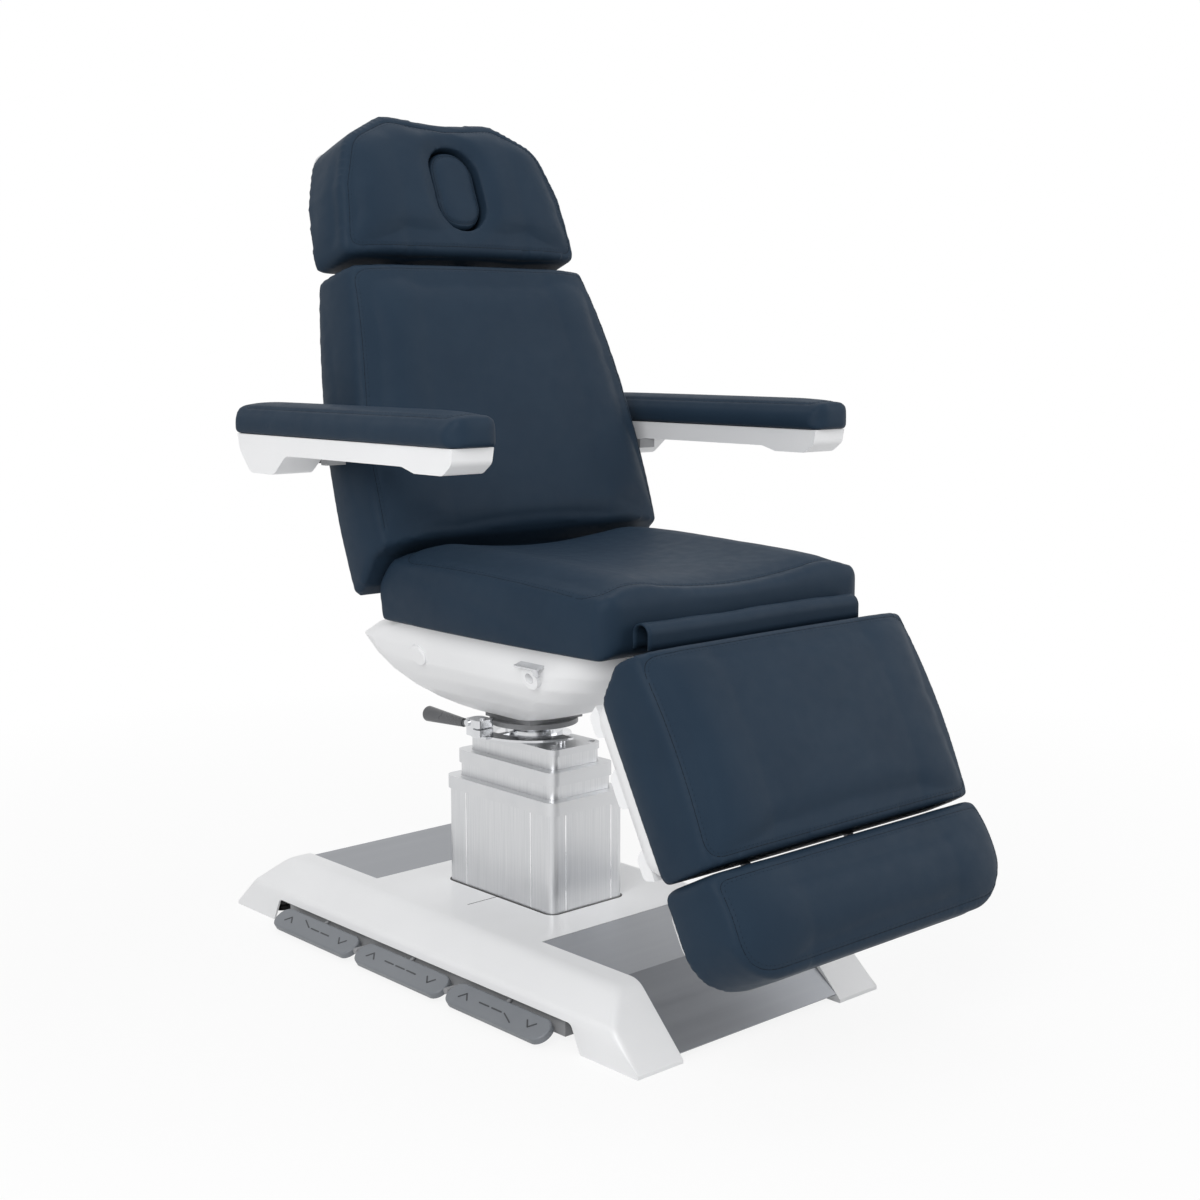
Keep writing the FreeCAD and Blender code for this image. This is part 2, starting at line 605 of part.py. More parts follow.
def lock_clamp():
    """Split clamp block of the swivel lock, with its bored cheek, top screw and cross bolt."""
    z0, z1 = LOCK_BLOCK_Z, LOCK_BLOCK_Z + LOCK_BLOCK_HEIGHT
    x0, x1 = -LOCK_X - LOCK_BLOCK_HALF_X, -LOCK_X + LOCK_BLOCK_HALF_X
    y0, y1 = LOCK_Y - LOCK_BLOCK_HALF_Y, LOCK_Y + LOCK_BLOCK_HALF_Y
    block = prism_z([(x0, y0, 6), (x1, y0, 6), (x1, y1, 10), (x0, y1, 10)], z0, z1)
    slit_z = z0 + 0.42 * LOCK_BLOCK_HEIGHT
    slit_end = LOCK_Y - LOCK_PIN_RADIUS - RUN_FIT - 2.0
    block = block.cut(box(x0 - 1.0, x1 + 1.0, y0 - 1.0, slit_end, slit_z, slit_z + LOCK_BLOCK_SLIT))
    screw = rod_z(LOCK_BOLT_RADIUS, z1, z1 + LOCK_BOLT_HEAD, -LOCK_X, 0.5 * (y0 + LOCK_Y))
    bolt_z = 0.5 * (slit_z + LOCK_BLOCK_SLIT + z1)
    bolt = rod_x(LOCK_BOLT_RADIUS, x0 - LOCK_BOLT_HEAD, x0, 0.5 * (LOCK_Y + y1), bolt_z)
    bore = rod_z(LOCK_PIN_RADIUS + RUN_FIT, z0 - 1.0, z0 + 0.8 * LOCK_BLOCK_HEIGHT, -LOCK_X, LOCK_Y)
    return block.fuse([screw, bolt]).cut(bore).removeSplitter()


def lock_handle():
    """Tapered lever handle that stands out behind the clamp."""
    z = LOCK_BLOCK_Z + 0.5 * LOCK_BLOCK_HEIGHT
    y0 = LOCK_Y + LOCK_BLOCK_HALF_Y
    y1 = y0 + LOCK_NECK_LENGTH
    neck = rod_y(LOCK_NECK_RADIUS, y0, y1, -LOCK_X, z)
    grip = Part.makeCone(LOCK_TIP_RADIUS, LOCK_HANDLE_RADIUS, LOCK_HANDLE_LENGTH - LOCK_NECK_LENGTH,
                         vec(-LOCK_X, y1, z), vec(0, 1, 0))
    grip = grip.makeFillet(4.0, [e for e in grip.Edges if e.CenterOfMass.y > y0 + LOCK_HANDLE_LENGTH - 1.0])
    return neck.fuse(grip).removeSplitter()


def seat_ear():
    """Hinge ear of the seat frame on the +X side, for the back's hinge pin."""
    x0 = SEAT_TUBE_X + 0.5 * SEAT_TUBE
    disc = rod_x(HINGE_EAR_RADIUS, x0, x0 + EAR_THICKNESS, BACK_HINGE_Y, BACK_HINGE_Z)
    web = box(x0, x0 + EAR_THICKNESS, BACK_HINGE_Y - 34.0, BACK_HINGE_Y + 13.0, SEAT_TUBE_LOW_Z, BACK_HINGE_Z)
    return disc.fuse(web).cut(rod_x(HINGE_PIN_RADIUS + RUN_FIT, x0 - 1.0, x0 + EAR_THICKNESS + 1.0,
                                    BACK_HINGE_Y, BACK_HINGE_Z))


def strip(x0, x1, start, stop, half_width):
    """Return a straight flat bar between two (y, z) points, with a round end at each."""
    dy, dz = stop[0] - start[0], stop[1] - start[1]
    length = math.hypot(dy, dz)
    py, pz = -dz / length * half_width, dy / length * half_width
    bar = prism_x([(start[0] + py, start[1] + pz, 0), (stop[0] + py, stop[1] + pz, 0),
                   (stop[0] - py, stop[1] - pz, 0), (start[0] - py, start[1] - pz, 0)], x0, x1)
    ends = [rod_x(half_width, x0, x1, point[0], point[1]) for point in (start, stop)]
    return bar.fuse(ends)


def leg_lug():
    """Lug of the seat frame on the +X side that carries the leg's hinge tube."""
    x0 = SEAT_TUBE_X + 0.5 * SEAT_TUBE
    foot = (SEAT_FRONT_Y + 24.0, SEAT_TUBE_LOW_Z + 14.0)
    lug = strip(x0, x0 + EAR_THICKNESS, (LEG_HINGE_Y, LEG_HINGE_Z), foot, 8.0)
    crest = (LEG_HINGE_Y, LEG_HINGE_Z + FLAP_RISE)
    lug = lug.fuse(strip(x0, x0 + EAR_THICKNESS, (LEG_HINGE_Y, LEG_HINGE_Z), crest,
                         FLAP_RADIUS - FLAP_THICKNESS))
    return lug.cut(rod_x(HINGE_TUBE_RADIUS + RUN_FIT, x0 - 1.0, x0 + EAR_THICKNESS + 1.0,
                         LEG_HINGE_Y, LEG_HINGE_Z))


def seat_frame():
    """Welded seat frame: two long tubes, cross tubes, the swivel pedestal, hinge ears and lugs."""
    rear = BACK_HINGE_Y + 13.0
    front = SEAT_FRONT_Y + 12.0
    half = 0.5 * SEAT_TUBE
    long_tube = box(SEAT_TUBE_X - half, SEAT_TUBE_X + half, front, rear, SEAT_TUBE_LOW_Z, SEAT_TUBE_TOP_Z)
    side = long_tube.fuse([seat_ear(), leg_lug()])
    pieces = [mirrored(side)]
    for y in (front + 98.0, -1.5 * SEAT_TUBE, 0.0):
        pieces.append(box(-SEAT_TUBE_X, SEAT_TUBE_X, y - half, y + half, SEAT_TUBE_LOW_Z, SEAT_TUBE_TOP_Z))
    pedestal = box(-CARRIER_HALF, CARRIER_HALF, -CARRIER_HALF, CARRIER_HALF, TURNTABLE_TOP_Z, SEAT_TUBE_TOP_Z)
    hollow = CARRIER_HALF - 6.0
    pedestal = pedestal.cut(box(-hollow, hollow, -hollow, hollow, TURNTABLE_TOP_Z + 8.0,
                                SEAT_TUBE_LOW_Z - 1.0))
    return side.fuse(pieces + [pedestal]).removeSplitter()


def seat_board():
    """Plywood board under the seat cushion."""
    corners = plate_corners(SEAT_HALF_WIDTH - BOARD_INSET, SEAT_FRONT_Y + BOARD_INSET, SEAT_REAR_Y - 12.0,
                            80.0)
    return prism_z(corners, SEAT_TUBE_TOP_Z, SEAT_BOTTOM_Z)


def seat_cushion():
    """Seat cushion: side bolsters round a shallow valley, with a rounded rear edge and nose."""
    rear, front = SEAT_REAR_Y, SEAT_FRONT_Y
    low = SEAT_BOTTOM_Z
    top = low + SEAT_HEIGHT
    wires = []
    for share, narrow, fall in ((0.0, 8.0, 0.0), (0.3, 0.0, 0.0), (0.7, 0.0, 0.5), (1.0, 8.0, 1.0)):
        y = rear + share * (front - rear)
        crest = top - fall * SEAT_FRONT_DROP
        half = SEAT_HALF_WIDTH - narrow
        wires.append(cushion_section(y, half, low, crest - SEAT_SHOULDER, crest, 0.66 * half,
                                     crest - SEAT_VALLEY))
    body = loft(wires)
    profile = [(rear, low, 10), (rear, top + 2.0, SEAT_REAR_ROUND), (front, top + 2.0, 46), (front, low, 26)]
    half = SEAT_HALF_WIDTH
    plan = [(-half, front, SEAT_CORNER), (half, front, SEAT_CORNER), (half, rear, 20), (-half, rear, 20)]
    body = body.common(prism_z(plan, low - 5.0, top + 20.0))
    return body.common(prism_x(profile, -half - 5.0, half + 5.0))


def hull_sections(inset):
    """Return the level outlines of the hull from its keel up to its rim, drawn in by inset."""
    wires = []
    for share in (0.0, 0.08, 0.18, 0.32, 0.48, 0.64, HULL_BULGE, 0.92, 1.0):
        z = HULL_BOTTOM_Z + share * (HULL_RIM_Z - HULL_BOTTOM_Z)
        rise = 1.0 - share
        half = HULL_KEEL_HALF + (HULL_TOP_HALF - HULL_KEEL_HALF) * (1.0 - rise ** HULL_FLARE)
        front = -HULL_KEEL_HALF + (HULL_FRONT_Y + HULL_KEEL_HALF) * (1.0 - rise ** 2.0)
        rear = HULL_KEEL_HALF + (HULL_BULGE_Y - HULL_KEEL_HALF) * min(1.0, share / HULL_BULGE)
        if share > HULL_BULGE:
            rear -= (HULL_BULGE_Y - HULL_REAR_Y) * ((share - HULL_BULGE) / (1.0 - HULL_BULGE)) ** 1.5
        level = z
        if inset > 0.0 and share == 0.0:
            level = z + inset
        if inset > 0.0 and share == 1.0:
            level = z + 1.0
        corner = 0.36 * half - inset
        corners = plate_corners(half - inset, front + inset, rear - inset, corner)
        wires.append(rounded_wire(corners, lambda a, b, c=level: vec(a, b, c)))
    return wires


def hull_half(z):
    """Return the hull's half width at a height."""
    rise = 1.0 - (z - HULL_BOTTOM_Z) / (HULL_RIM_Z - HULL_BOTTOM_Z)
    return HULL_KEEL_HALF + (HULL_TOP_HALF - HULL_KEEL_HALF) * (1.0 - rise ** HULL_FLARE)


def on_hull(shape, y, z):
    """Turn a piece built about the origin, outwards along +X, onto the hull's side at a place."""
    lean = math.atan2(hull_half(z + 15.0) - hull_half(z - 15.0), 30.0)
    turned = shape.copy()
    turned.rotate(vec(0, 0, 0), vec(0, 1, 0), math.degrees(lean))
    turned.translate(vec(hull_half(z), y, z))
    return turned


def seat_hull():
    """Moulded boat-shaped hull below the seat, with inner ribs up to the seat board and several windows."""
    outside = loft(hull_sections(0.0), True)
    shell = outside.cut(loft(hull_sections(HULL_WALL), True))
    for y in HULL_RIB_Y:
        rib = box(HULL_RIB_X, HULL_TOP_HALF, y - 0.5 * HULL_WALL, y + 0.5 * HULL_WALL,
                  SEAT_TUBE_TOP_Z - HULL_RIB_DEPTH, SEAT_TUBE_TOP_Z).common(outside)
        shell = shell.fuse([rib, mirrored(rib)])
    gap = CARRIER_HALF + CLEAR
    mouth = box(-gap, gap, -gap, gap, HULL_BOTTOM_Z - 20.0, HULL_BOTTOM_Z + 40.0)
    window = box(-DRIVE_X - 40.0, -DRIVE_X + 40.0, -600.0, -360.0, DRIVE_Z - 40.0, SEAT_TUBE_LOW_Z + 5.0)
    front_slot = box(-SEAT_TUBE_X - 40.0, SEAT_TUBE_X + 40.0, -600.0, -380.0, SEAT_TUBE_LOW_Z - 8.0,
                     SEAT_BOTTOM_Z + 10.0)
    cap_holes = [rod_x(radius, -HULL_TOP_HALF - 50.0, HULL_TOP_HALF + 50.0, y, z)
                 for radius, y, z in ((0.6 * CAP_RADIUS, CAP_Y, CAP_Z),
                                      (0.8 * SOCKET_RADIUS, SOCKET_Y, SOCKET_Z))]
    rear_slot = box(-BACK_TUBE_X - 30.0, BACK_TUBE_X + 30.0, 60.0, 400.0, SEAT_TUBE_TOP_Z - 8.0,
                    SEAT_BOTTOM_Z + 10.0)
    return shell.cut([mouth, window, front_slot, rear_slot] + cap_holes)


def hull_cap():
    """Round cover cap on the +X side of the hull, with the stem that plugs into it."""
    disc = rod_x(CAP_RADIUS, -10.0, 3.5, 0, 0)
    disc = disc.makeFillet(2.0, [e for e in disc.Edges if e.CenterOfMass.x > 3.0])
    disc = on_hull(disc, CAP_Y, CAP_Z).cut(loft(hull_sections(0.0), True))
    stem = on_hull(rod_x(0.4 * CAP_RADIUS, -16.0, 1.5, 0, 0), CAP_Y, CAP_Z)
    return disc.fuse(stem).removeSplitter()


def side_socket():
    """Accessory socket on the +X side of the hull: a short bored boss with a stem."""
    mouth = SOCKET_BORE_DEPTH - 4.0
    boss = on_hull(rod_x(SOCKET_RADIUS, -10.0, mouth, 0, 0), SOCKET_Y, SOCKET_Z)
    boss = boss.cut(loft(hull_sections(0.0), True))
    stem = on_hull(rod_x(SOCKET_BORE_RADIUS + 1.5, -20.0, 1.5, 0, 0), SOCKET_Y, SOCKET_Z)
    bore = on_hull(rod_x(SOCKET_BORE_RADIUS, mouth - SOCKET_BORE_DEPTH, mouth + 1.0, 0, 0), SOCKET_Y,
                   SOCKET_Z)
    return boss.fuse(stem).cut(bore).removeSplitter()


def socket_clip():
    """Spring clip that stands on the hull over the socket and turns down in front of it."""
    z0 = SOCKET_RADIUS + 1.0
    blade = box(-8.0, 14.0, -32.0, 24.0, z0, z0 + 2.5)
    tongue = box(11.5, 14.0, -32.0, -20.0, z0 - 10.0, z0 + 2.5)
    clip = on_hull(blade.fuse(tongue).removeSplitter(), SOCKET_Y, SOCKET_Z)
    return clip.cut(loft(hull_sections(0.0), True))


def hinge_pin():
    """Hinge pin of the back on the +X side, with its head."""
    x0 = SEAT_TUBE_X + 0.5 * SEAT_TUBE
    x1 = BACK_TUBE_X + 0.5 * BACK_TUBE
    pin = rod_x(HINGE_PIN_RADIUS, x0, x1 + 2.0, BACK_HINGE_Y, BACK_HINGE_Z)
    return pin.fuse(rod_x(HINGE_PIN_RADIUS + 5.0, x0 - 5.0, x0, BACK_HINGE_Y, BACK_HINGE_Z)).removeSplitter()


def leg_hinge_tube():
    """Hinge tube of the leg section, held by the seat frame's lugs."""
    reach = LEG_TUBE_X + 0.5 * LEG_TUBE + 4.0
    tube = rod_x(HINGE_TUBE_RADIUS, -reach, reach, LEG_HINGE_Y, LEG_HINGE_Z)
    return tube.cut(rod_x(HINGE_TUBE_RADIUS - 3.0, -reach - 1.0, reach + 1.0, LEG_HINGE_Y, LEG_HINGE_Z))


def flap_arch(radius, reach, low_z):
    """Return a solid arch over the leg hinge: upright sides below a half round."""
    y, z = LEG_HINGE_Y, LEG_HINGE_Z + FLAP_RISE
    arch = rod_x(radius, -reach, reach, y, z)
    arch = arch.cut(box(-reach - 1.0, reach + 1.0, y - radius - 1.0, y + radius + 1.0, z - radius - 1.0, z))
    return arch.fuse(box(-reach, reach, y - radius, y + radius, low_z, z)).removeSplitter()


def gap_flap():
    """Folded vinyl flap arched over the leg hinge."""
    low = LEG_HINGE_Z - FLAP_TAIL
    outer = flap_arch(FLAP_RADIUS, FLAP_HALF_WIDTH, low)
    return outer.cut(flap_arch(FLAP_RADIUS - FLAP_THICKNESS, FLAP_HALF_WIDTH + 1.0, low - 1.0))


def drive_body(x, motor_y, end_y):
    """Return the bored tube and motor of a section drive, pinned to the seat frame's long tube."""
    side = 1.0 if x > 0 else -1.0
    away = 1.0 if end_y > motor_y else -1.0
    tube_ys = sorted((motor_y, end_y))
    tube = rod_y(DRIVE_TUBE_RADIUS, tube_ys[0], tube_ys[1], x, DRIVE_Z)
    case = box(x - MOTOR_HALF_WIDTH, x + MOTOR_HALF_WIDTH, motor_y - MOTOR_HALF_LENGTH,
               motor_y + MOTOR_HALF_LENGTH,
               DRIVE_Z - MOTOR_DROP, DRIVE_Z + MOTOR_RISE)
    xs = sorted((x, side * (SEAT_TUBE_X - 0.5 * SEAT_TUBE)))
    pin = rod_x(MOTOR_PIN_RADIUS, xs[0], xs[1], motor_y, SEAT_TUBE_LOW_Z + 7.0)
    bore_ys = sorted((motor_y + away * DRIVE_BORE_INSET, end_y + away * CLEAR))
    bore = rod_y(DRIVE_ROD_RADIUS + RUN_FIT, bore_ys[0], bore_ys[1], x, DRIVE_Z)
    return tube.fuse([case, pin]).cut(bore).removeSplitter()


def drive_rod(x, inner_end, pin_y, reach):
    """Return a drive rod whose slotted end lies beside the lever it moves."""
    side = 1.0 if x > 0 else -1.0
    away = 1.0 if inner_end > pin_y else -1.0
    neck_y = pin_y + away * reach
    ys = sorted((inner_end, neck_y))
    rod = rod_y(DRIVE_ROD_RADIUS, ys[0], ys[1], x, DRIVE_Z)
    gap = 0.5 * LEVER_THICKNESS + 2.0
    xs = sorted((x + side * gap, x + side * (gap + LEVER_THICKNESS)))
    neck_xs = sorted((x - side * DRIVE_ROD_RADIUS, x + side * (gap + LEVER_THICKNESS)))
    neck_ys = sorted((neck_y, neck_y + away * 12.0))
    neck = box(neck_xs[0], neck_xs[1], neck_ys[0], neck_ys[1], DRIVE_Z - 8.0, DRIVE_Z + 8.0)
    eye_ys = sorted((neck_y + away * 12.0, pin_y - away * 11.0))
    eye = box(xs[0], xs[1], eye_ys[0], eye_ys[1], DRIVE_Z - 31.0, DRIVE_Z + 19.0)
    slot_half = DRIVE_PIN_RADIUS + 2.0
    slot = box(xs[0] - 1.0, xs[1] + 1.0, pin_y - slot_half, pin_y + slot_half, DRIVE_Z - 24.0, DRIVE_Z + 14.0)
    return rod.fuse([neck, eye]).cut(slot).removeSplitter()


def lever(x, hinge, offset):
    """Return the lever of a section and its drive pin, in the stored pose."""
    side = 1.0 if x > 0 else -1.0
    pin_at = (hinge[0] + offset[0], hinge[1] + offset[1])
    half = 0.5 * LEVER_THICKNESS
    plate = strip(x - half, x + half, hinge, pin_at, LEVER_HALF_WIDTH)
    xs = sorted((x, x + side * (half + 2.0 + LEVER_THICKNESS)))
    return plate.fuse(rod_x(DRIVE_PIN_RADIUS, xs[0], xs[1], pin_at[0], pin_at[1]))


def back_frame():
    """Welded back frame: side tubes with hinge ears, cross tubes, arm shaft, head sleeves, drive lever."""
    half = 0.5 * BACK_TUBE
    n0, n1 = BACK_TUBE_LOW_N, BACK_TUBE_TOP_N
    top = BACK_TOP_U - 50.0
    x_ear = SEAT_TUBE_X + 0.5 * SEAT_TUBE + EAR_THICKNESS + 2.0
    tube = box(BACK_TUBE_X - half, BACK_TUBE_X + half, HINGE_EAR_RADIUS + 4.0, top, n0, n1)
    ear = rod_x(HINGE_EAR_RADIUS - 2.0, x_ear, x_ear + EAR_THICKNESS, 0, 0)
    web = box(x_ear, x_ear + EAR_THICKNESS, 0.0, 70.0, n0, n1)
    side = tube.fuse([ear, web])
    side = side.cut(rod_x(HINGE_PIN_RADIUS + RUN_FIT, x_ear - 30.0, x_ear + 60.0, 0, 0))
    pieces = [mirrored(side)]
    for u in (120.0, top - 40.0):
        pieces.append(box(-BACK_TUBE_X, BACK_TUBE_X, u - half, u + half, n0, n1))
    reach = ARM_INNER_X + ARM_HUB_WIDTH
    pieces.append(rod_x(ARM_SHAFT_RADIUS, -reach, reach, ARM_PIVOT_U, ARM_PIVOT_N))
    for x in (-HEAD_BAR_X, HEAD_BAR_X):
        pieces.append(box(x - 14.0, x + 14.0, top - 40.0, top + 16.0, n0, n1))
    frame = side.fuse(pieces)
    holes = [rod_y(HEAD_BAR_RADIUS + RUN_FIT, top - 26.0, top + 60.0, x, HEAD_HINGE_N)
             for x in (-HEAD_BAR_X, HEAD_BAR_X)]
    frame = on_back(frame.cut(holes))
    drive = lever(DRIVE_X, (BACK_HINGE_Y, BACK_HINGE_Z), BACK_LEVER)
    link = box(DRIVE_X - 0.5 * LEVER_THICKNESS, DRIVE_X + 0.5 * LEVER_THICKNESS, -10.0, 110.0, n0, n0 + 16.0)
    return frame.fuse([drive, on_back(link)]).removeSplitter()


def back_half_width(u):
    """Return the back cushion's half width at a height along the back."""
    middle = 0.45 * BACK_TOP_U
    if u < middle:
        return BACK_LOW_HALF + (BACK_MID_HALF - BACK_LOW_HALF) * u / middle
    return BACK_MID_HALF + (BACK_TOP_HALF - BACK_MID_HALF) * (u - middle) / (BACK_TOP_U - middle)


def back_cushion():
    """Back cushion: tapering crowned pad, cut back below where it meets the seat."""
    low = BACK_REAR_N
    seam = low + BACK_THICKNESS
    crest = seam + BACK_CROWN
    wires = []
    for u, narrow, flat in ((0.0, 10.0, 6.0), (0.2 * BACK_TOP_U, 0.0, 0.0), (0.5 * BACK_TOP_U, 0.0, 0.0),
                            (0.8 * BACK_TOP_U, 0.0, 0.0), (BACK_TOP_U, 6.0, 12.0)):
        half = back_half_width(u) - narrow
        wires.append(cushion_section(u, half, low, seam - flat, crest - flat, 0.55 * half,
                                     crest - flat + 4.0))
    body = loft(wires)
    profile = [(28.0, low, 0), (BACK_TOP_U, low, 16), (BACK_TOP_U, crest + 6.0, 30),
               (BACK_LOW_U, crest + 6.0, 24),
               (BACK_LOW_U - 20.0, low + 84.0, 0), (0.4 * BACK_LOW_U, low + 38.0, 0)]
    body = body.common(prism_x(profile, -BACK_LOW_HALF - 5.0, BACK_LOW_HALF + 5.0))
    return on_back(body)


def tray(low_u, top_u, widths, n_open, depth, wall, taper):
    """Return a shallow moulded tray: a tapering outline lofted to a smaller floor, hollowed by its wall."""
    def outline(inset, n):
        low_half, top_half = widths
        corners = [(-low_half + inset, low_u + inset, 40.0 - inset),
                   (low_half - inset, low_u + inset, 40.0 - inset),
                   (top_half - inset, top_u - inset, 40.0 - inset), (-top_half + inset, top_u - inset,
                                                                     40.0 - inset)]
        return rounded_wire(corners, lambda a, b: vec(a, b, n))
    outer = loft([outline(0.0, n_open), outline(0.35 * taper, n_open - 0.6 * depth),
                  outline(taper, n_open - depth)])
    inner = loft([outline(wall, n_open + 1.0), outline(0.35 * taper + wall, n_open - 0.6 * depth),
                  outline(taper + wall, n_open - depth + wall)])
    return outer.cut(inner)


def back_shell():
    """Moulded rear shell of the back, with openings for the arm shaft and the hinge arms."""
    widths = (BACK_LOW_HALF - SHELL_INSET, BACK_TOP_HALF - SHELL_INSET)
    n_open = BACK_REAR_N - CLEAR
    shell = tray(0.34 * BACK_LOW_U + 12.0, BACK_TOP_U - 8.0, widths, n_open, BACK_SHELL_DEPTH, SHELL_WALL,
                 22.0)
    shaft = rod_x(ARM_SHAFT_RADIUS + 2.0, -ARM_INNER_X, ARM_INNER_X, ARM_PIVOT_U, ARM_PIVOT_N)
    low = 0.34 * BACK_LOW_U
    arms = box(-BACK_TUBE_X - 20.0, BACK_TUBE_X + 20.0, low - 10.0, low + 40.0, -40.0, BACK_REAR_N + 2.0)
    bars = [rod_y(HEAD_BAR_RADIUS + 2.0, BACK_TOP_U - 30.0, BACK_TOP_U + 10.0, x, HEAD_HINGE_N)
            for x in (-HEAD_BAR_X, HEAD_BAR_X)]
    return on_back(shell.cut([shaft, arms] + bars))


def head_bars():
    """Two bars in the back's sleeves that end in the eyes of the head hinge."""
    bars = []
    for x in (-HEAD_BAR_X, HEAD_BAR_X):
        bar = rod_y(HEAD_BAR_RADIUS, BACK_TOP_U - 76.0, HEAD_HINGE_U, x, HEAD_HINGE_N)
        eye = rod_x(HEAD_BAR_RADIUS + 2.0, x - 9.0, x + 9.0, HEAD_HINGE_U, HEAD_HINGE_N)
        bore = rod_x(0.5 * HINGE_TUBE_RADIUS + RUN_FIT, x - 12.0, x + 12.0, HEAD_HINGE_U, HEAD_HINGE_N)
        bars.append(bar.fuse(eye).cut(bore).removeSplitter())
    return on_back(Part.makeCompound(bars))


def head_frame():
    """Head frame: hinge knuckles on a pin, two cheeks, a cross bar and side plates round the face opening."""
    x0 = HEAD_BAR_X + 12.0
    x1 = x0 + 8.0
    knuckle = rod_x(HEAD_BAR_RADIUS + 2.0, x0, x1, 0, 0)
    cheek = box(x0, x1, 0.0, 190.0, -8.0, HEAD_REAR_N)
    plate = box(PLUG_HALF_WIDTH + 6.0, x1 + 60.0, 70.0, 190.0, HEAD_REAR_N - 5.0, HEAD_REAR_N)
    side = knuckle.fuse([cheek, plate])
    bar = box(-x0, x0, 26.0, 46.0, -8.0, HEAD_REAR_N)
    pin = rod_x(0.5 * HINGE_TUBE_RADIUS, -x1, x1, 0, 0)
    return on_head(side.fuse([mirrored(side), bar, pin]).removeSplitter())


def head_outline(inset):
    """Return the head's plan outline: tapering sides, two rounded ears and the dip between them."""
    low = 0.5 * HEAD_GAP + inset
    top = 0.5 * HEAD_GAP + HEAD_LENGTH - inset
    shoulder = 0.84 * HEAD_LENGTH
    waist = 0.5 * (HEAD_LOW_HALF + HEAD_TOP_HALF) + 8.0
    right = [(HEAD_LOW_HALF - inset, low, 14), (waist - inset, 0.5 * HEAD_LENGTH, 60),
             (HEAD_TOP_HALF - inset, shoulder, 60), (0.56 * HEAD_TOP_HALF, top, 50)]
    left = [(-x, u, radius) for x, u, radius in reversed(right)]
    return right + [(0.0, top - HEAD_EAR_RISE, 80)] + left


def plug_outline(grow):
    """Return the oval outline of the face opening."""
    half = PLUG_HALF_WIDTH + grow
    return plate_corners(half, PLUG_U - PLUG_HALF_LENGTH - grow, PLUG_U + PLUG_HALF_LENGTH + grow,
                         0.96 * half)


def head_cushion():
    """Head cushion: crowned pad with ears, and the open oval for the face."""
    low = HEAD_REAR_N
    seam = low + 0.92 * BACK_THICKNESS
    crest = seam + 0.8 * BACK_CROWN
    start, stop = 0.5 * HEAD_GAP, 0.5 * HEAD_GAP + HEAD_LENGTH
    wires = []
    for share, flat in ((0.0, 8.0), (0.3, 0.0), (0.7, 2.0), (1.0, 16.0)):
        u = start + share * (stop - start)
        half = HEAD_LOW_HALF + 4.0
        wires.append(cushion_section(u, half, low, seam - flat, crest - flat, 0.5 * half, crest - flat + 4.0))
    body = loft(wires).common(prism_z(head_outline(0.0), low - 5.0, crest + 20.0))
    profile = [(start, low, 8), (stop, low, 12), (stop, crest + 6.0, 36), (start, crest + 6.0, 24)]
    body = body.common(prism_x(profile, -HEAD_LOW_HALF - 5.0, HEAD_LOW_HALF + 5.0))
    return on_head(body.cut(prism_z(plug_outline(0.0), low - 5.0, crest + 20.0)))


def face_plug():
    """Padded plug of the face opening, crowned like the cushion round it."""
    low = HEAD_REAR_N + CLEAR
    top = low + 0.92 * BACK_THICKNESS + 0.8 * BACK_CROWN
    wires = []
    for n, grow in ((low, -CLEAR), (top - 14.0, -CLEAR), (top - 4.0, -6.0), (top - 1.0, -18.0)):
        corners = plug_outline(grow)
        wires.append(rounded_wire(corners, lambda a, b, c=n: vec(a, b, c)))
    return on_head(loft(wires, True))


def head_shell():
    """Moulded rear shell of the head."""
    low = 0.5 * HEAD_GAP + 6.0
    top = HEAD_LENGTH - 20.0
    shell = tray(low, top, (HEAD_LOW_HALF - SHELL_INSET, HEAD_TOP_HALF - 6.0), HEAD_REAR_N - CLEAR,
                 HEAD_SHELL_DEPTH,
                 SHELL_WALL, 18.0)
    reach = HEAD_BAR_X + 26.0
    hinge_gap = box(-reach, reach, low - 20.0, low + 26.0, -60.0, HEAD_REAR_N + 2.0)
    return on_head(shell.cut([hinge_gap, prism_z(plug_outline(5.0), -60.0, HEAD_REAR_N + 2.0)]))


def arm_pivot():
    """Return the (y, z) place of the arm shaft in the stored pose."""
    turn = math.radians(BACK_TRAVEL_DEG)
    y = BACK_HINGE_Y + ARM_PIVOT_U * math.cos(turn) - ARM_PIVOT_N * math.sin(turn)
    z = BACK_HINGE_Z + ARM_PIVOT_U * math.sin(turn) + ARM_PIVOT_N * math.cos(turn)
    return y, z


def arm_bracket():
    """Stop cam beside the arm on the +X side, kept level as the back reclines."""
    y, z = arm_pivot()
    x1 = ARM_INNER_X - 2.0
    x0 = x1 - 14.0
    cam = rod_x(ARM_HUB_RADIUS - 4.0, x0, x1, y, z)
    toe = box(x0, x1, y - 110.0, y, z - 14.0, z - 2.0)
    peg = box(x0, x1 + 24.0, y - 110.0, y - 94.0, z - 14.0, ARM_BODY_LOW_Z - CLEAR)
    return cam.fuse([toe, peg]).cut(rod_x(ARM_SHAFT_RADIUS + RUN_FIT, x0 - 1.0, x1 + 1.0, y,
                                          z)).removeSplitter()


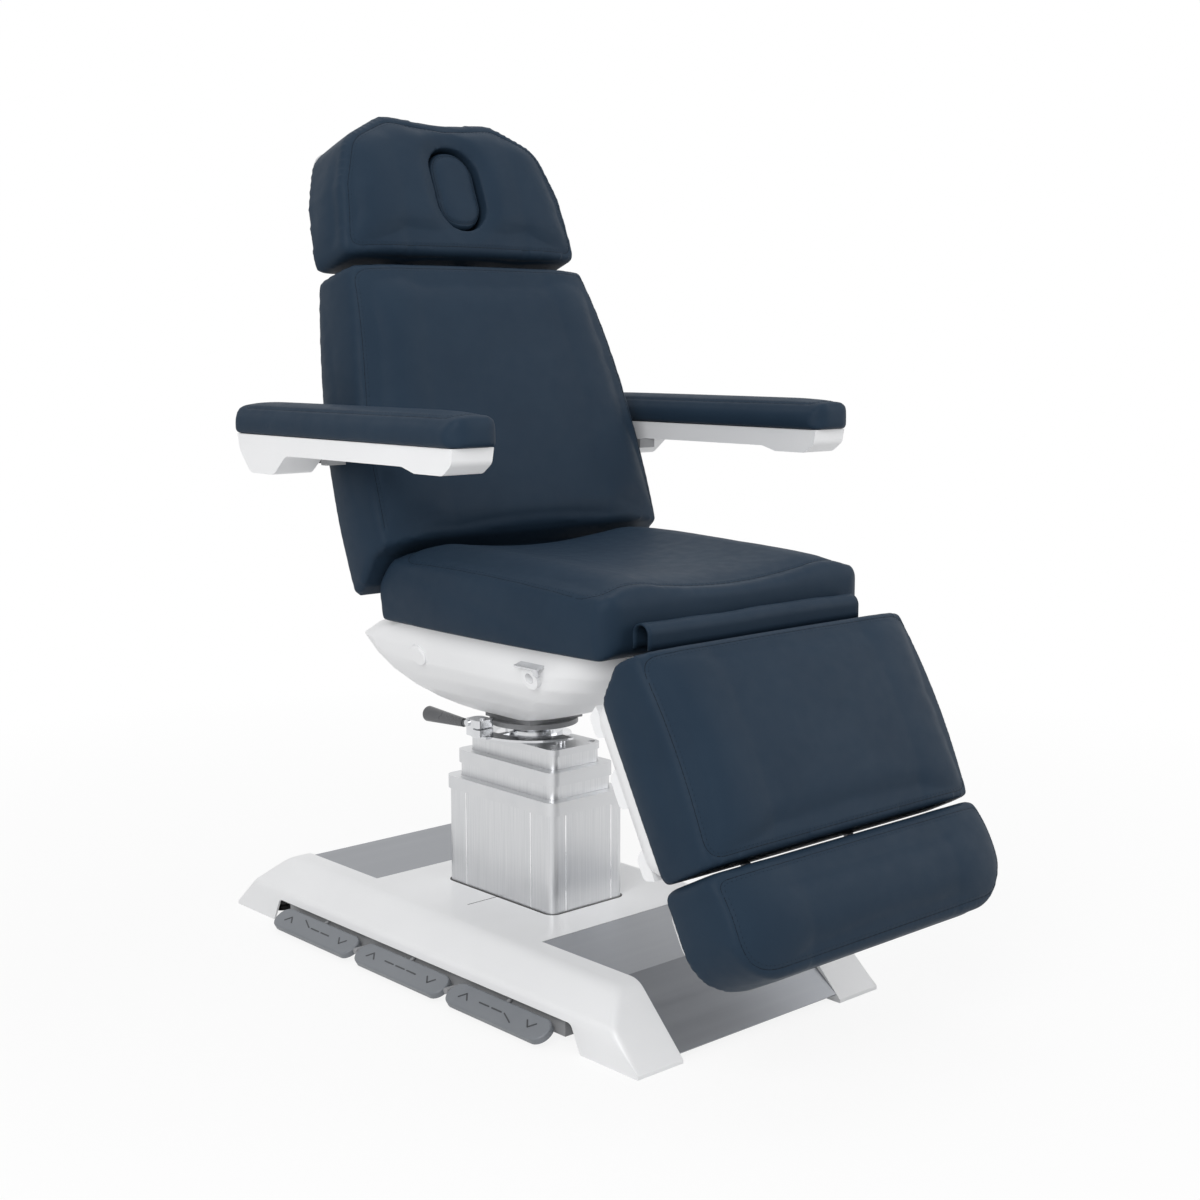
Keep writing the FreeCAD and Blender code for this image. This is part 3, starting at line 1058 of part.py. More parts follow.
def arm_support():
    """Moulded arm body on the +X side: a slim beam with a hub at the pivot and a swollen front end."""
    y, z = arm_pivot()
    low = ARM_BODY_LOW_Z
    belly = z - ARM_HUB_RADIUS - 4.0
    rear, front = ARM_REAR_Y - 10.0, ARM_FRONT_Y + 10.0
    side = [(rear, ARM_PAD_LOW_Z, 0), (rear - 6.0, low + 4.0, 14), (y + 28.0, belly, 22),
            (y - 44.0, belly, 22), (y - 84.0, low, 24), (front + 128.0, low, 24),
            (front + 96.0, low - 9.0, 14), (front + 26.0, low - 9.0, 16), (front + 4.0, low + 8.0, 16),
            (front, ARM_PAD_LOW_Z, 0)]
    beam = prism_x(side, ARM_INNER_X + 7.0, ARM_INNER_X + ARM_WIDTH - 7.0)
    cross = [(ARM_INNER_X + 7.0, ARM_PAD_LOW_Z, 0), (ARM_INNER_X + 9.0, low - 60.0, 24),
             (ARM_INNER_X + ARM_WIDTH - 9.0, low - 60.0, 24), (ARM_INNER_X + ARM_WIDTH - 7.0, ARM_PAD_LOW_Z,
                                                               0)]
    beam = beam.common(prism_y(cross, front - 5.0, rear + 5.0))
    hub = rod_x(ARM_HUB_RADIUS, ARM_INNER_X, ARM_INNER_X + ARM_HUB_WIDTH, y, z)
    bore = rod_x(ARM_SHAFT_RADIUS + RUN_FIT, ARM_INNER_X - 1.0, ARM_INNER_X + ARM_HUB_WIDTH + RUN_FIT, y, z)
    trim = box(ARM_INNER_X - 1.0, ARM_INNER_X + ARM_WIDTH, y - 60.0, y + 60.0, ARM_PAD_LOW_Z, ARM_TOP_Z)
    return beam.fuse(hub).cut([bore, trim]).removeSplitter()


def arm_pad():
    """Padded top of the arm on the +X side, rounded at both ends."""
    half = 0.5 * ARM_WIDTH
    low, top = ARM_PAD_LOW_Z, ARM_TOP_Z
    wires = []
    for share in (0.0, 0.35, 0.7, 1.0):
        y = ARM_REAR_Y + share * (ARM_FRONT_Y - ARM_REAR_Y)
        narrow = 3.0 * (1.0 - share)
        wires.append(cushion_section(y, half - narrow, low, top - 12.0, top - 2.0, 0.45 * half, top))
    body = loft(wires)
    plan = plate_corners(half + 2.0, ARM_FRONT_Y, ARM_REAR_Y, 34.0)
    profile = [(ARM_REAR_Y, low, 4), (ARM_REAR_Y, top + 2.0, 22), (ARM_FRONT_Y, top + 2.0, 18),
               (ARM_FRONT_Y, low, 10)]
    body = body.common(prism_z(plan, low - 5.0, top + 5.0)).common(prism_x(profile, -half - 5.0, half + 5.0))
    body.translate(vec(ARM_MID_X, 0, 0))
    return body


def leg_cushion():
    """Leg cushion: crowned pad whose upper rear edge is cut back to clear the hinge."""
    low = LEG_BACK_H
    seam = low + LEG_THICKNESS
    crest = seam + LEG_CROWN
    end = LEG_END_A + LEG_LENGTH
    wires = []
    for share, flat in ((0.0, 12.0), (0.3, 0.0), (0.7, 0.0), (1.0, 10.0)):
        a = LEG_END_A + share * LEG_LENGTH
        wires.append(cushion_section(-a, LEG_HALF_WIDTH, low, seam - flat, crest - flat,
                                     0.55 * LEG_HALF_WIDTH,
                                     crest - flat + 5.0))
    body = loft(wires)
    profile = [(-LEG_END_A, crest + 6.0, 30), (-LEG_END_A, 5.0, 8), (-LEG_END_A - 42.0, low, 10),
               (-end, low, 14),
               (-end, crest + 6.0, 26)]
    return on_leg(body.common(prism_x(profile, -LEG_HALF_WIDTH - 5.0, LEG_HALF_WIDTH + 5.0)))


def leg_frame():
    """Welded leg frame: side tubes with hinge ears, bored cross bars for the foot bars, drive lever."""
    h1 = LEG_BACK_H
    h0 = h1 - LEG_TUBE
    hm = 0.5 * (h0 + h1)
    half = 0.5 * LEG_TUBE
    end = LEG_END_A + LEG_LENGTH - 30.0
    x_ear = SEAT_TUBE_X + 0.5 * SEAT_TUBE + EAR_THICKNESS + 2.0
    ring = HINGE_TUBE_RADIUS + 5.0
    tube = box(LEG_TUBE_X - half, LEG_TUBE_X + half, -end, -45.0, h0, h1)
    ear = strip(x_ear, x_ear + EAR_THICKNESS, (0.0, 0.0), (-54.0, hm), 6.5)
    ear = ear.fuse(rod_x(ring, x_ear, x_ear + EAR_THICKNESS, 0, 0))
    side = tube.fuse(ear)
    pieces = [mirrored(side)]
    for a in (LEG_END_A + 0.62 * LEG_LENGTH, end):
        pieces.append(box(-LEG_TUBE_X, LEG_TUBE_X, -a, -a + 24.0, h0, h1))
    frame = side.fuse(pieces)
    turn = math.radians(-LEG_DROP_DEG)
    pin = (LEG_LEVER[0] * math.cos(turn) - LEG_LEVER[1] * math.sin(turn),
           LEG_LEVER[0] * math.sin(turn) + LEG_LEVER[1] * math.cos(turn))
    x = -DRIVE_X
    thick = 0.5 * LEVER_THICKNESS
    arm = lever(x, (0.0, 0.0), pin)
    arm = arm.fuse([rod_x(ring, x - thick, x + thick, 0, 0),
                    strip(x - thick, x + thick, pin, (-LEG_END_A - 0.62 * LEG_LENGTH + 12.0, hm), 8.0)])
    frame = frame.fuse(arm)
    cuts = [rod_x(HINGE_TUBE_RADIUS + RUN_FIT, -LEG_HALF_WIDTH, LEG_HALF_WIDTH, 0, 0)]
    for bar_x in (-FOOT_BAR_X, FOOT_BAR_X):
        cuts.append(rod_y(FOOT_BAR_RADIUS + RUN_FIT, -end - 10.0, -80.0, bar_x, hm))
    return on_leg(frame.cut(cuts).removeSplitter())


def leg_shell():
    """Moulded rear shell of the leg, with stepped lugs along both edges."""
    low, top = -LEG_END_A - LEG_LENGTH + 6.0, -LEG_END_A - 26.0
    open_h = LEG_BACK_H - CLEAR
    width = LEG_HALF_WIDTH - SHELL_INSET
    shell = tray(low, top, (width, width), open_h, LEG_SHELL_DEPTH, SHELL_WALL, 16.0)
    floor = open_h - LEG_SHELL_DEPTH
    x1 = width - 18.0
    for a0, a1 in LEG_LUGS:
        lug = prism_x([(-a0, floor + 2.0, 0), (-a0 - 10.0, floor - LEG_LUG_DEPTH, 14),
                       (-a1 + 6.0, floor - LEG_LUG_DEPTH, 10), (-a1, floor + 2.0, 0)], x1 - 16.0, x1)
        shell = shell.fuse([lug, mirrored(lug)])
    rib = box(LEG_TUBE_X - 5.0, LEG_TUBE_X + 5.0, low + 60.0, top - 90.0, floor + 2.0, LEG_BACK_H - LEG_TUBE)
    shell = shell.fuse([rib, mirrored(rib)])
    x_ear = SEAT_TUBE_X + 0.5 * SEAT_TUBE + EAR_THICKNESS
    ear_gap = box(x_ear - 4.0, LEG_TUBE_X + 16.0, -80.0, -30.0, floor - 5.0, open_h + 5.0)
    drive_gap = box(-DRIVE_X - 30.0, -DRIVE_X + 24.0, -110.0, -30.0, floor - 5.0, open_h + 5.0)
    bars = [rod_y(FOOT_BAR_RADIUS + 2.0, low - 10.0, low + 40.0, x, LEG_BACK_H - 0.5 * LEG_TUBE)
            for x in (-FOOT_BAR_X, FOOT_BAR_X)]
    return on_leg(shell.cut([ear_gap, mirrored(ear_gap), drive_gap] + bars))


def foot_rails():
    """Foot slide: two bars in the leg's cross bars and the plate that carries the foot cushion."""
    h1 = LEG_BACK_H
    hm = h1 - 0.5 * LEG_TUBE
    start = FOOT_START_A
    plate = box(-FOOT_BAR_X - 40.0, FOOT_BAR_X + 40.0, -start - 110.0, -start - 30.0, h1 - 6.0, h1)
    pieces = [rod_y(FOOT_BAR_RADIUS, -start - 110.0, -start + 264.0, x, hm)
              for x in (-FOOT_BAR_X, FOOT_BAR_X)]
    pieces += [box(x - 8.0, x + 8.0, -start - 110.0, -start - 30.0, hm, h1 - 6.0)
               for x in (-FOOT_BAR_X, FOOT_BAR_X)]
    return on_leg(plate.fuse(pieces).removeSplitter())


def foot_outline(inset):
    """Return the plan outline of the foot section with its large rounded toes."""
    start, end = FOOT_START_A + inset, FOOT_START_A + FOOT_LENGTH - inset
    half = FOOT_HALF_WIDTH - inset
    return [(-half, -start, 18), (-half, -end, FOOT_CORNER - inset), (half, -end, FOOT_CORNER - inset),
            (half, -start, 18)]


def foot_cushion():
    """Foot cushion: crowned pad with rounded toes."""
    low = LEG_BACK_H
    seam = low + LEG_THICKNESS
    crest = seam + LEG_CROWN
    wires = []
    for share, flat in ((0.0, 10.0), (0.35, 0.0), (0.7, 6.0), (1.0, 26.0)):
        a = FOOT_START_A + share * FOOT_LENGTH
        wires.append(cushion_section(-a, FOOT_HALF_WIDTH, low, seam - flat, crest - flat,
                                     0.55 * FOOT_HALF_WIDTH,
                                     crest - flat + 4.0))
    body = loft(wires).common(prism_z(foot_outline(0.0), low - 5.0, crest + 20.0))
    end = FOOT_START_A + FOOT_LENGTH
    profile = [(-FOOT_START_A, crest + 6.0, 26), (-FOOT_START_A, low, 12), (-end, low, 20),
               (-end, crest + 6.0, 40)]
    return on_leg(body.common(prism_x(profile, -FOOT_HALF_WIDTH - 5.0, FOOT_HALF_WIDTH + 5.0)))


def foot_shell():
    """Moulded rear shell of the foot section."""
    open_h = LEG_BACK_H - CLEAR
    levels = ((0.0, open_h), (8.0, open_h - 0.6 * FOOT_SHELL_DEPTH), (22.0, open_h - FOOT_SHELL_DEPTH))
    outer = [rounded_wire(foot_outline(SHELL_INSET + inset), lambda a, b, c=h: vec(a, b, c))
             for inset, h in levels]
    inner = []
    for inset, h in levels:
        level = h + 1.0 if inset == 0.0 else h + (SHELL_WALL if inset > 20.0 else 0.0)
        inner.append(rounded_wire(foot_outline(SHELL_INSET + SHELL_WALL + inset), lambda a, b,
                                  c=level: vec(a, b, c)))
    shell = loft(outer).cut(loft(inner))
    start = FOOT_START_A
    bars = [rod_y(FOOT_BAR_RADIUS + 2.0, -start - 60.0, -start + 10.0, x, LEG_BACK_H - 0.5 * LEG_TUBE)
            for x in (-FOOT_BAR_X, FOOT_BAR_X)]
    rib = box(-30.0, 30.0, -start - 75.0, -start - 65.0, open_h - FOOT_SHELL_DEPTH + 2.0, LEG_BACK_H - 6.0)
    return on_leg(shell.cut(bars).fuse(rib).removeSplitter())


def on_pedal(shape):
    """Lean a piece from the pedals' flat frame, whose origin is the upper edge of their faces."""
    leaned = shape.copy()
    leaned.rotate(vec(0, 0, 0), vec(0, 1, 0), -PEDAL_TILT_DEG)
    leaned.translate(vec(PEDAL_EDGE_X, 0, PEDAL_EDGE_Z))
    return leaned


def pedal(index):
    """Return one rocker pedal with its shaft bore; index counts from the rear one."""
    middle = (1 - index) * PEDAL_PITCH
    y0, y1 = middle - 0.5 * PEDAL_LENGTH, middle + 0.5 * PEDAL_LENGTH
    round_end = 0.47 * PEDAL_WIDTH
    corners = [(-PEDAL_WIDTH, y0, round_end), (0.0, y0, round_end), (0.0, y1, round_end),
               (-PEDAL_WIDTH, y1, round_end)]
    body = prism_z(corners, -PEDAL_THICKNESS, 0.0)
    face_edges = [e for e in body.Edges if e.CenterOfMass.z > -0.1]
    body = body.makeFillet(0.3 * PEDAL_THICKNESS, face_edges)
    bore = rod_x(PEDAL_SHAFT_RADIUS + RUN_FIT, -0.7 * PEDAL_WIDTH, 1.0, middle, -0.5 * PEDAL_THICKNESS)
    return on_pedal(body.cut(bore))


def pedal_bar():
    """Pedal carrier on the base frame: a bar, three leaning shafts and the posts between the pedals."""
    x1 = -FOOT_X - 0.5 * FRAME_TUBE
    x0 = -BASE_HALF_WIDTH + PEDAL_BAR_GAP
    reach = 1.5 * PEDAL_PITCH
    bar = box(x0, x1, -reach, reach, PEDAL_BAR_LOW_Z, PEDAL_BAR_LOW_Z + PEDAL_BAR_HEIGHT)
    inner_end = (PEDAL_SIDE_GAP + PEDAL_BAR_GAP) / math.cos(math.radians(PEDAL_TILT_DEG)) + 2.0
    pieces = []
    for index in (-1, 0, 1):
        shaft = rod_x(PEDAL_SHAFT_RADIUS, -0.66 * PEDAL_WIDTH, inner_end, index * PEDAL_PITCH,
                      -0.5 * PEDAL_THICKNESS)
        pieces.append(on_pedal(shaft))
    post_x = PEDAL_EDGE_X - 0.5 * PEDAL_WIDTH
    for side in (-0.5, 0.5):
        pieces.append(rod_x(PEDAL_POST_RADIUS, post_x, x0 + 2.0, side * PEDAL_PITCH, 0.6 * PEDAL_EDGE_Z))
    return bar.fuse(pieces).removeSplitter()


def control_box():
    """Power supply and control unit under the bridge."""
    low = FRAME_Z + COLUMN_PLATE
    x0 = COLUMN_HALF_X + CONTROL_GAP
    x1 = FOOT_X - 0.5 * FRAME_TUBE - CONTROL_SIDE_GAP
    half = 0.5 * (x1 - x0)
    corners = plate_corners(half, -CONTROL_HALF_LENGTH, CONTROL_HALF_LENGTH, 6.0)
    unit = prism_z(corners, low, DECK_Z - BASE_WALL - 2.0 * LEDGE_DEPTH)
    return unit.translated(vec(x0 + half, 0, 0))


def build():
    """Return every node's shape by name."""
    column_low = FRAME_Z + COLUMN_PLATE
    back_pin_y = BACK_HINGE_Y + BACK_LEVER[0]
    leg_pin_y = LEG_HINGE_Y + LEG_LEVER[0]
    nodes = {
        "base_cover": base_cover(),
        "front_plate": floor_plate(-1),
        "rear_plate": floor_plate(1),
        "base_frame": base_frame(),
        "levelling_feet": levelling_feet(),
        "control_box": control_box(),
        "pedal_bar": pedal_bar(),
        "pedal_back": pedal(0),
        "pedal_lift": pedal(1),
        "pedal_leg": pedal(2),
        "column_outer": column_tube(0, column_low, OUTER_TOP_Z),
        "outer_collar": column_collar(0, OUTER_TOP_Z),
        "column_middle": column_tube(1, column_low + 8.0, MIDDLE_TOP_Z),
        "middle_collar": column_collar(1, MIDDLE_TOP_Z),
        "middle_glides": column_glides(1, column_low + 8.0),
        "column_inner": column_tube(2, column_low + 24.0, INNER_TOP_Z),
        "inner_glides": column_glides(2, column_low + 24.0),
        "column_head": column_head(),
        "lift_base_rod": rod_z(SCREW_RADIUS, column_low, SLEEVE_TOP_Z, 0, 0),
        "lift_sleeve": lift_sleeve(),
        "lift_motor": lift_motor(),
        "swivel_hub": swivel_hub(),
        "lock_bracket": lock_bracket(),
        "lock_clamp": lock_clamp(),
        "lock_handle": lock_handle(),
        "swivel_plate": rod_z(TURNTABLE_RADIUS, TURNTABLE_Z, TURNTABLE_TOP_Z, 0, 0),
        "seat_frame": seat_frame(),
        "seat_board": seat_board(),
        "seat_cushion": seat_cushion(),
        "seat_hull": seat_hull(),
        "hull_caps": both_sides(hull_cap()),
        "side_sockets": both_sides(side_socket()),
        "socket_clips": both_sides(socket_clip()),
        "back_hinge_pins": both_sides(hinge_pin()),
        "leg_hinge_tube": leg_hinge_tube(),
        "gap_flap": gap_flap(),
        "back_drive": drive_body(DRIVE_X, BACK_MOTOR_Y, BACK_TUBE_END_Y),
        "back_drive_rod": drive_rod(DRIVE_X, BACK_ROD_END_Y, back_pin_y, BACK_ROD_REACH),
        "leg_drive": drive_body(-DRIVE_X, LEG_MOTOR_Y, LEG_TUBE_END_Y),
        "leg_drive_rod": drive_rod(-DRIVE_X, LEG_ROD_END_Y, leg_pin_y, LEG_ROD_REACH),
        "back_frame": back_frame(),
        "back_shell": back_shell(),
        "back_cushion": back_cushion(),
        "head_bars": head_bars(),
        "head_frame": head_frame(),
        "head_shell": head_shell(),
        "head_cushion": head_cushion(),
        "face_plug": face_plug(),
        "arm_bracket_left": arm_bracket(),
        "arm_support_left": arm_support(),
        "arm_pad_left": arm_pad(),
        "leg_frame": leg_frame(),
        "leg_shell": leg_shell(),
        "leg_cushion": leg_cushion(),
        "foot_rails": foot_rails(),
        "foot_shell": foot_shell(),
        "foot_cushion": foot_cushion(),
    }
    for name in ("arm_bracket", "arm_support", "arm_pad"):
        nodes[name + "_right"] = mirrored(nodes[name + "_left"])
    return nodes


def main():
    """Write every node, moved so that the origin lies under the middle of the chair's outline."""
    os.makedirs("parts", exist_ok=True)
    for name, shape in build().items():
        shape = shape.copy()
        shape.translate(vec(0, COLUMN_Y, 0))
        shape.exportStep("parts/" + name + ".step")
        box_ = shape.BoundBox
        print(f"{name:18s} solids {len(shape.Solids):2d} valid {shape.isValid()}"
              f"  volume {shape.Volume / 1000:9.1f} cm3"
              f"  x {box_.XMin:7.1f} {box_.XMax:7.1f}  y {box_.YMin:7.1f} {box_.YMax:7.1f}"
              f"  z {box_.ZMin:7.1f} {box_.ZMax:7.1f}")


main()
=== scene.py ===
"""Looks of the treatment chair: upholstery, mouldings, brushed column, pedals and the studio round them."""
import logging
import math
from dataclasses import dataclass, field
from enum import Enum
from typing import Dict, List, Optional, Sequence, Tuple

import bmesh
import bpy
from mathutils import Matrix, Vector
from mathutils.bvhtree import BVHTree


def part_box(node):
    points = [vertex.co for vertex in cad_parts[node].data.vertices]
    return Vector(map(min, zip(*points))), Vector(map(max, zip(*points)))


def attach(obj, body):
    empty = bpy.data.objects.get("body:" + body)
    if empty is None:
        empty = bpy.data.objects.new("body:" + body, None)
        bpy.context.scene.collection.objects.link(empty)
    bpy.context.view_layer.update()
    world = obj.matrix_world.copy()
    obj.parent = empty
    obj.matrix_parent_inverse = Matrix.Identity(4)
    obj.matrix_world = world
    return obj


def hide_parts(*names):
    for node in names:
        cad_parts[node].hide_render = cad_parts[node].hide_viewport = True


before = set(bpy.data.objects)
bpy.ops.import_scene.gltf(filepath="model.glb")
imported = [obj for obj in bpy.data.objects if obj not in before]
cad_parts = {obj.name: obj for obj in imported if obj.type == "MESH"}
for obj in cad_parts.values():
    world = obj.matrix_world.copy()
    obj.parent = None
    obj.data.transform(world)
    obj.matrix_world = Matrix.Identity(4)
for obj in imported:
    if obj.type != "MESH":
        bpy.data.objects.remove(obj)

LOG = logging.getLogger("treatment_chair")
Colour = Tuple[float, float, float]
Plan = Tuple[float, float]
Corner = Tuple[float, float, float]

# Where the column and the leg hinge stand, in metres, and how the sections lean in the stored pose.
COLUMN_Y = 0.1252
LEG_HINGE_Y = -0.530
LEG_HINGE_Z = 0.649
BACK_ANGLE = math.radians(72.5)
HEAD_ANGLE = math.radians(69.5)
LEG_ANGLE = math.radians(62.1)
PEDAL_LEAN = math.radians(30.0)

# How a copy of a CAD mesh is read: points this near are one, and edges that turn further stay sharp.
WELD = 5e-5
SHARP = math.radians(28.0)


class Brush(Enum):
    """Which way the fine lines of a brushed metal run."""

    UPRIGHT = (1.0, 1.0, 0.012)
    ACROSS = (0.012, 1.0, 1.0)


class Rocker(Enum):
    """Where the bent dash of a pedal's mark lies."""

    REAR = 0
    NONE = 1
    FRONT = 2


class Shader:
    """A material's node tree, filled in step by step."""

    def __init__(self, name: str) -> None:
        """Start an empty procedural material.

        Args:
            name: the material's name.
        """
        self.material = bpy.data.materials.new(name)
        self.material.use_nodes = True
        self.tree = self.material.node_tree
        self.surface = self.tree.nodes["Principled BSDF"]

    def node(self, kind: str, **values: object) -> bpy.types.Node:
        """Add a node and set its inputs by name.

        Args:
            kind: the node's type.
            values: input values, with spaces in their names written as underscores.

        Returns:
            The new node.
        """
        made = self.tree.nodes.new(kind)
        for key, value in values.items():
            made.inputs[key.replace("_", " ")].default_value = value
        return made

    def link(self, start: bpy.types.NodeSocket, stop: bpy.types.NodeSocket) -> None:
        """Join two sockets."""
        self.tree.links.new(start, stop)

    def set(self, **values: object) -> None:
        """Set values on the surface shader's own sockets."""
        for key, value in values.items():
            self.surface.inputs[key.replace("_", " ")].default_value = value

    def place(self, scale: Tuple[float, float, float] = (1.0, 1.0, 1.0)) -> bpy.types.NodeSocket:
        """Return object coordinates, scaled.

        Args:
            scale: how much each axis is stretched.

        Returns:
            The vector socket.
        """
        where = self.node("ShaderNodeTexCoord")
        mapping = self.node("ShaderNodeMapping")
        mapping.inputs["Scale"].default_value = scale
        self.link(where.outputs["Object"], mapping.inputs["Vector"])
        return mapping.outputs["Vector"]

    def noise(self, where: bpy.types.NodeSocket, scale: float, detail: float = 3.0) -> bpy.types.NodeSocket:
        """Return a noise value at a place.

        Args:
            where: the coordinates.
            scale: waves per metre.
            detail: number of finer layers.

        Returns:
            The value socket.
        """
        made = self.node("ShaderNodeTexNoise", Scale=scale, Detail=detail)
        self.link(where, made.inputs["Vector"])
        return made.outputs["Fac"]

    def tint(self, value: bpy.types.NodeSocket, low: Colour, high: Colour, start: float = 0.3,
             stop: float = 0.7) -> None:
        """Vary the base colour between two tints.

        Args:
            value: what drives the change.
            low: the colour at low values.
            high: the colour at high values.
            start: value at which the change begins.
            stop: value at which it is complete.
        """
        ramp = self.node("ShaderNodeValToRGB")
        ramp.color_ramp.elements[0].position = start
        ramp.color_ramp.elements[1].position = stop
        ramp.color_ramp.elements[0].color = (*low, 1.0)
        ramp.color_ramp.elements[1].color = (*high, 1.0)
        self.link(value, ramp.inputs["Fac"])
        self.link(ramp.outputs["Color"], self.surface.inputs["Base Color"])

    def vary_roughness(self, value: bpy.types.NodeSocket, low: float, high: float) -> None:
        """Vary the roughness between two values.

        Args:
            value: what drives the change.
            low: roughness at low values.
            high: roughness at high values.
        """
        span = self.node("ShaderNodeMapRange", From_Min=0.3, From_Max=0.7, To_Min=low, To_Max=high)
        self.link(value, span.inputs["Value"])
        self.link(span.outputs["Result"], self.surface.inputs["Roughness"])

    def bump(self, height: bpy.types.NodeSocket, strength: float, depth: float) -> None:
        """Roughen the surface with a height.

        Args:
            height: what drives the relief.
            strength: share of the relief that shows.
            depth: the relief's real depth in metres.
        """
        made = self.node("ShaderNodeBump", Strength=strength, Distance=depth)
        self.link(height, made.inputs["Height"])
        self.link(made.outputs["Normal"], self.surface.inputs["Normal"])


@dataclass(frozen=True)
class Vinyl:
    """Soft upholstery vinyl with a fine leather grain."""

    name: str
    low: Colour
    high: Colour
    grain: float = 620.0

    def make(self) -> bpy.types.Material:
        """Return the material."""
        shader = Shader(self.name)
        where = shader.place()
        cells = shader.node("ShaderNodeTexVoronoi", Scale=self.grain)
        cells.feature = "SMOOTH_F1"
        cells.inputs["Smoothness"].default_value = 0.7
        shader.link(where, cells.inputs["Vector"])
        shader.tint(shader.noise(where, 9.0, 4.0), self.low, self.high)
        shader.vary_roughness(shader.noise(where, 46.0, 5.0), 0.50, 0.58)
        shader.bump(cells.outputs["Distance"], 0.22, 0.0004)
        shader.set(Specular_IOR_Level=0.10)
        return shader.material


@dataclass(frozen=True)
class Moulding:
    """Moulded plastic with a faint texture."""

    name: str
    low: Colour
    high: Colour
    rough: Tuple[float, float] = (0.26, 0.36)
    texture: float = 1500.0
    relief: float = 0.0

    def make(self) -> bpy.types.Material:
        """Return the material."""
        shader = Shader(self.name)
        where = shader.place()
        shader.tint(shader.noise(where, 5.0, 3.0), self.low, self.high)
        shader.vary_roughness(shader.noise(where, 30.0, 4.0), *self.rough)
        if self.relief > 0.0:
            shader.bump(shader.noise(where, self.texture, 2.0), self.relief, 0.0002)
        shader.set(Specular_IOR_Level=0.5)
        return shader.material


@dataclass(frozen=True)
class Brushed:
    """Brushed bare metal: long fine scratches and broader bands."""

    name: str
    low: Colour
    high: Colour
    way: Brush
    rough: Tuple[float, float] = (0.24, 0.40)
    band: float = 38.0
    relief: float = 0.12

    def make(self) -> bpy.types.Material:
        """Return the material."""
        shader = Shader(self.name)
        where = shader.place(self.way.value)
        bands = shader.noise(where, self.band, 6.0)
        lines = shader.noise(where, 900.0, 4.0)
        shader.tint(bands, self.low, self.high, 0.25, 0.75)
        shader.vary_roughness(bands, *self.rough)
        shader.bump(lines, self.relief, 0.0003)
        shader.set(Metallic=1.0)
        return shader.material


@dataclass(frozen=True)
class Bright:
    """Polished plated metal with faint smears."""

    name: str
    tone: Colour = (0.72, 0.73, 0.75)

    def make(self) -> bpy.types.Material:
        """Return the material."""
        shader = Shader(self.name)
        where = shader.place()
        darker = tuple(0.86 * part for part in self.tone)
        shader.tint(shader.noise(where, 24.0, 4.0), darker, self.tone)
        shader.vary_roughness(shader.noise(where, 60.0, 5.0), 0.07, 0.18)
        shader.set(Metallic=1.0)
        return shader.material


@dataclass(frozen=True)
class Paint:
    """Powder-coated steel."""

    name: str
    low: Colour
    high: Colour

    def make(self) -> bpy.types.Material:
        """Return the material."""
        shader = Shader(self.name)
        where = shader.place()
        shader.tint(shader.noise(where, 12.0, 4.0), self.low, self.high)
        shader.vary_roughness(shader.noise(where, 90.0, 3.0), 0.42, 0.55)
        shader.bump(shader.noise(where, 1500.0, 2.0), 0.15, 0.0002)
        return shader.material


@dataclass(frozen=True)
class Board:
    """Plywood with a long grain."""

    name: str = "plywood"

    def make(self) -> bpy.types.Material:
        """Return the material."""
        shader = Shader(self.name)
        where = shader.place((1.0, 0.06, 1.0))
        grain = shader.noise(where, 120.0, 5.0)
        shader.tint(grain, (0.36, 0.24, 0.13), (0.58, 0.43, 0.27))
        shader.vary_roughness(grain, 0.55, 0.7)
        shader.bump(grain, 0.2, 0.0004)
        return shader.material


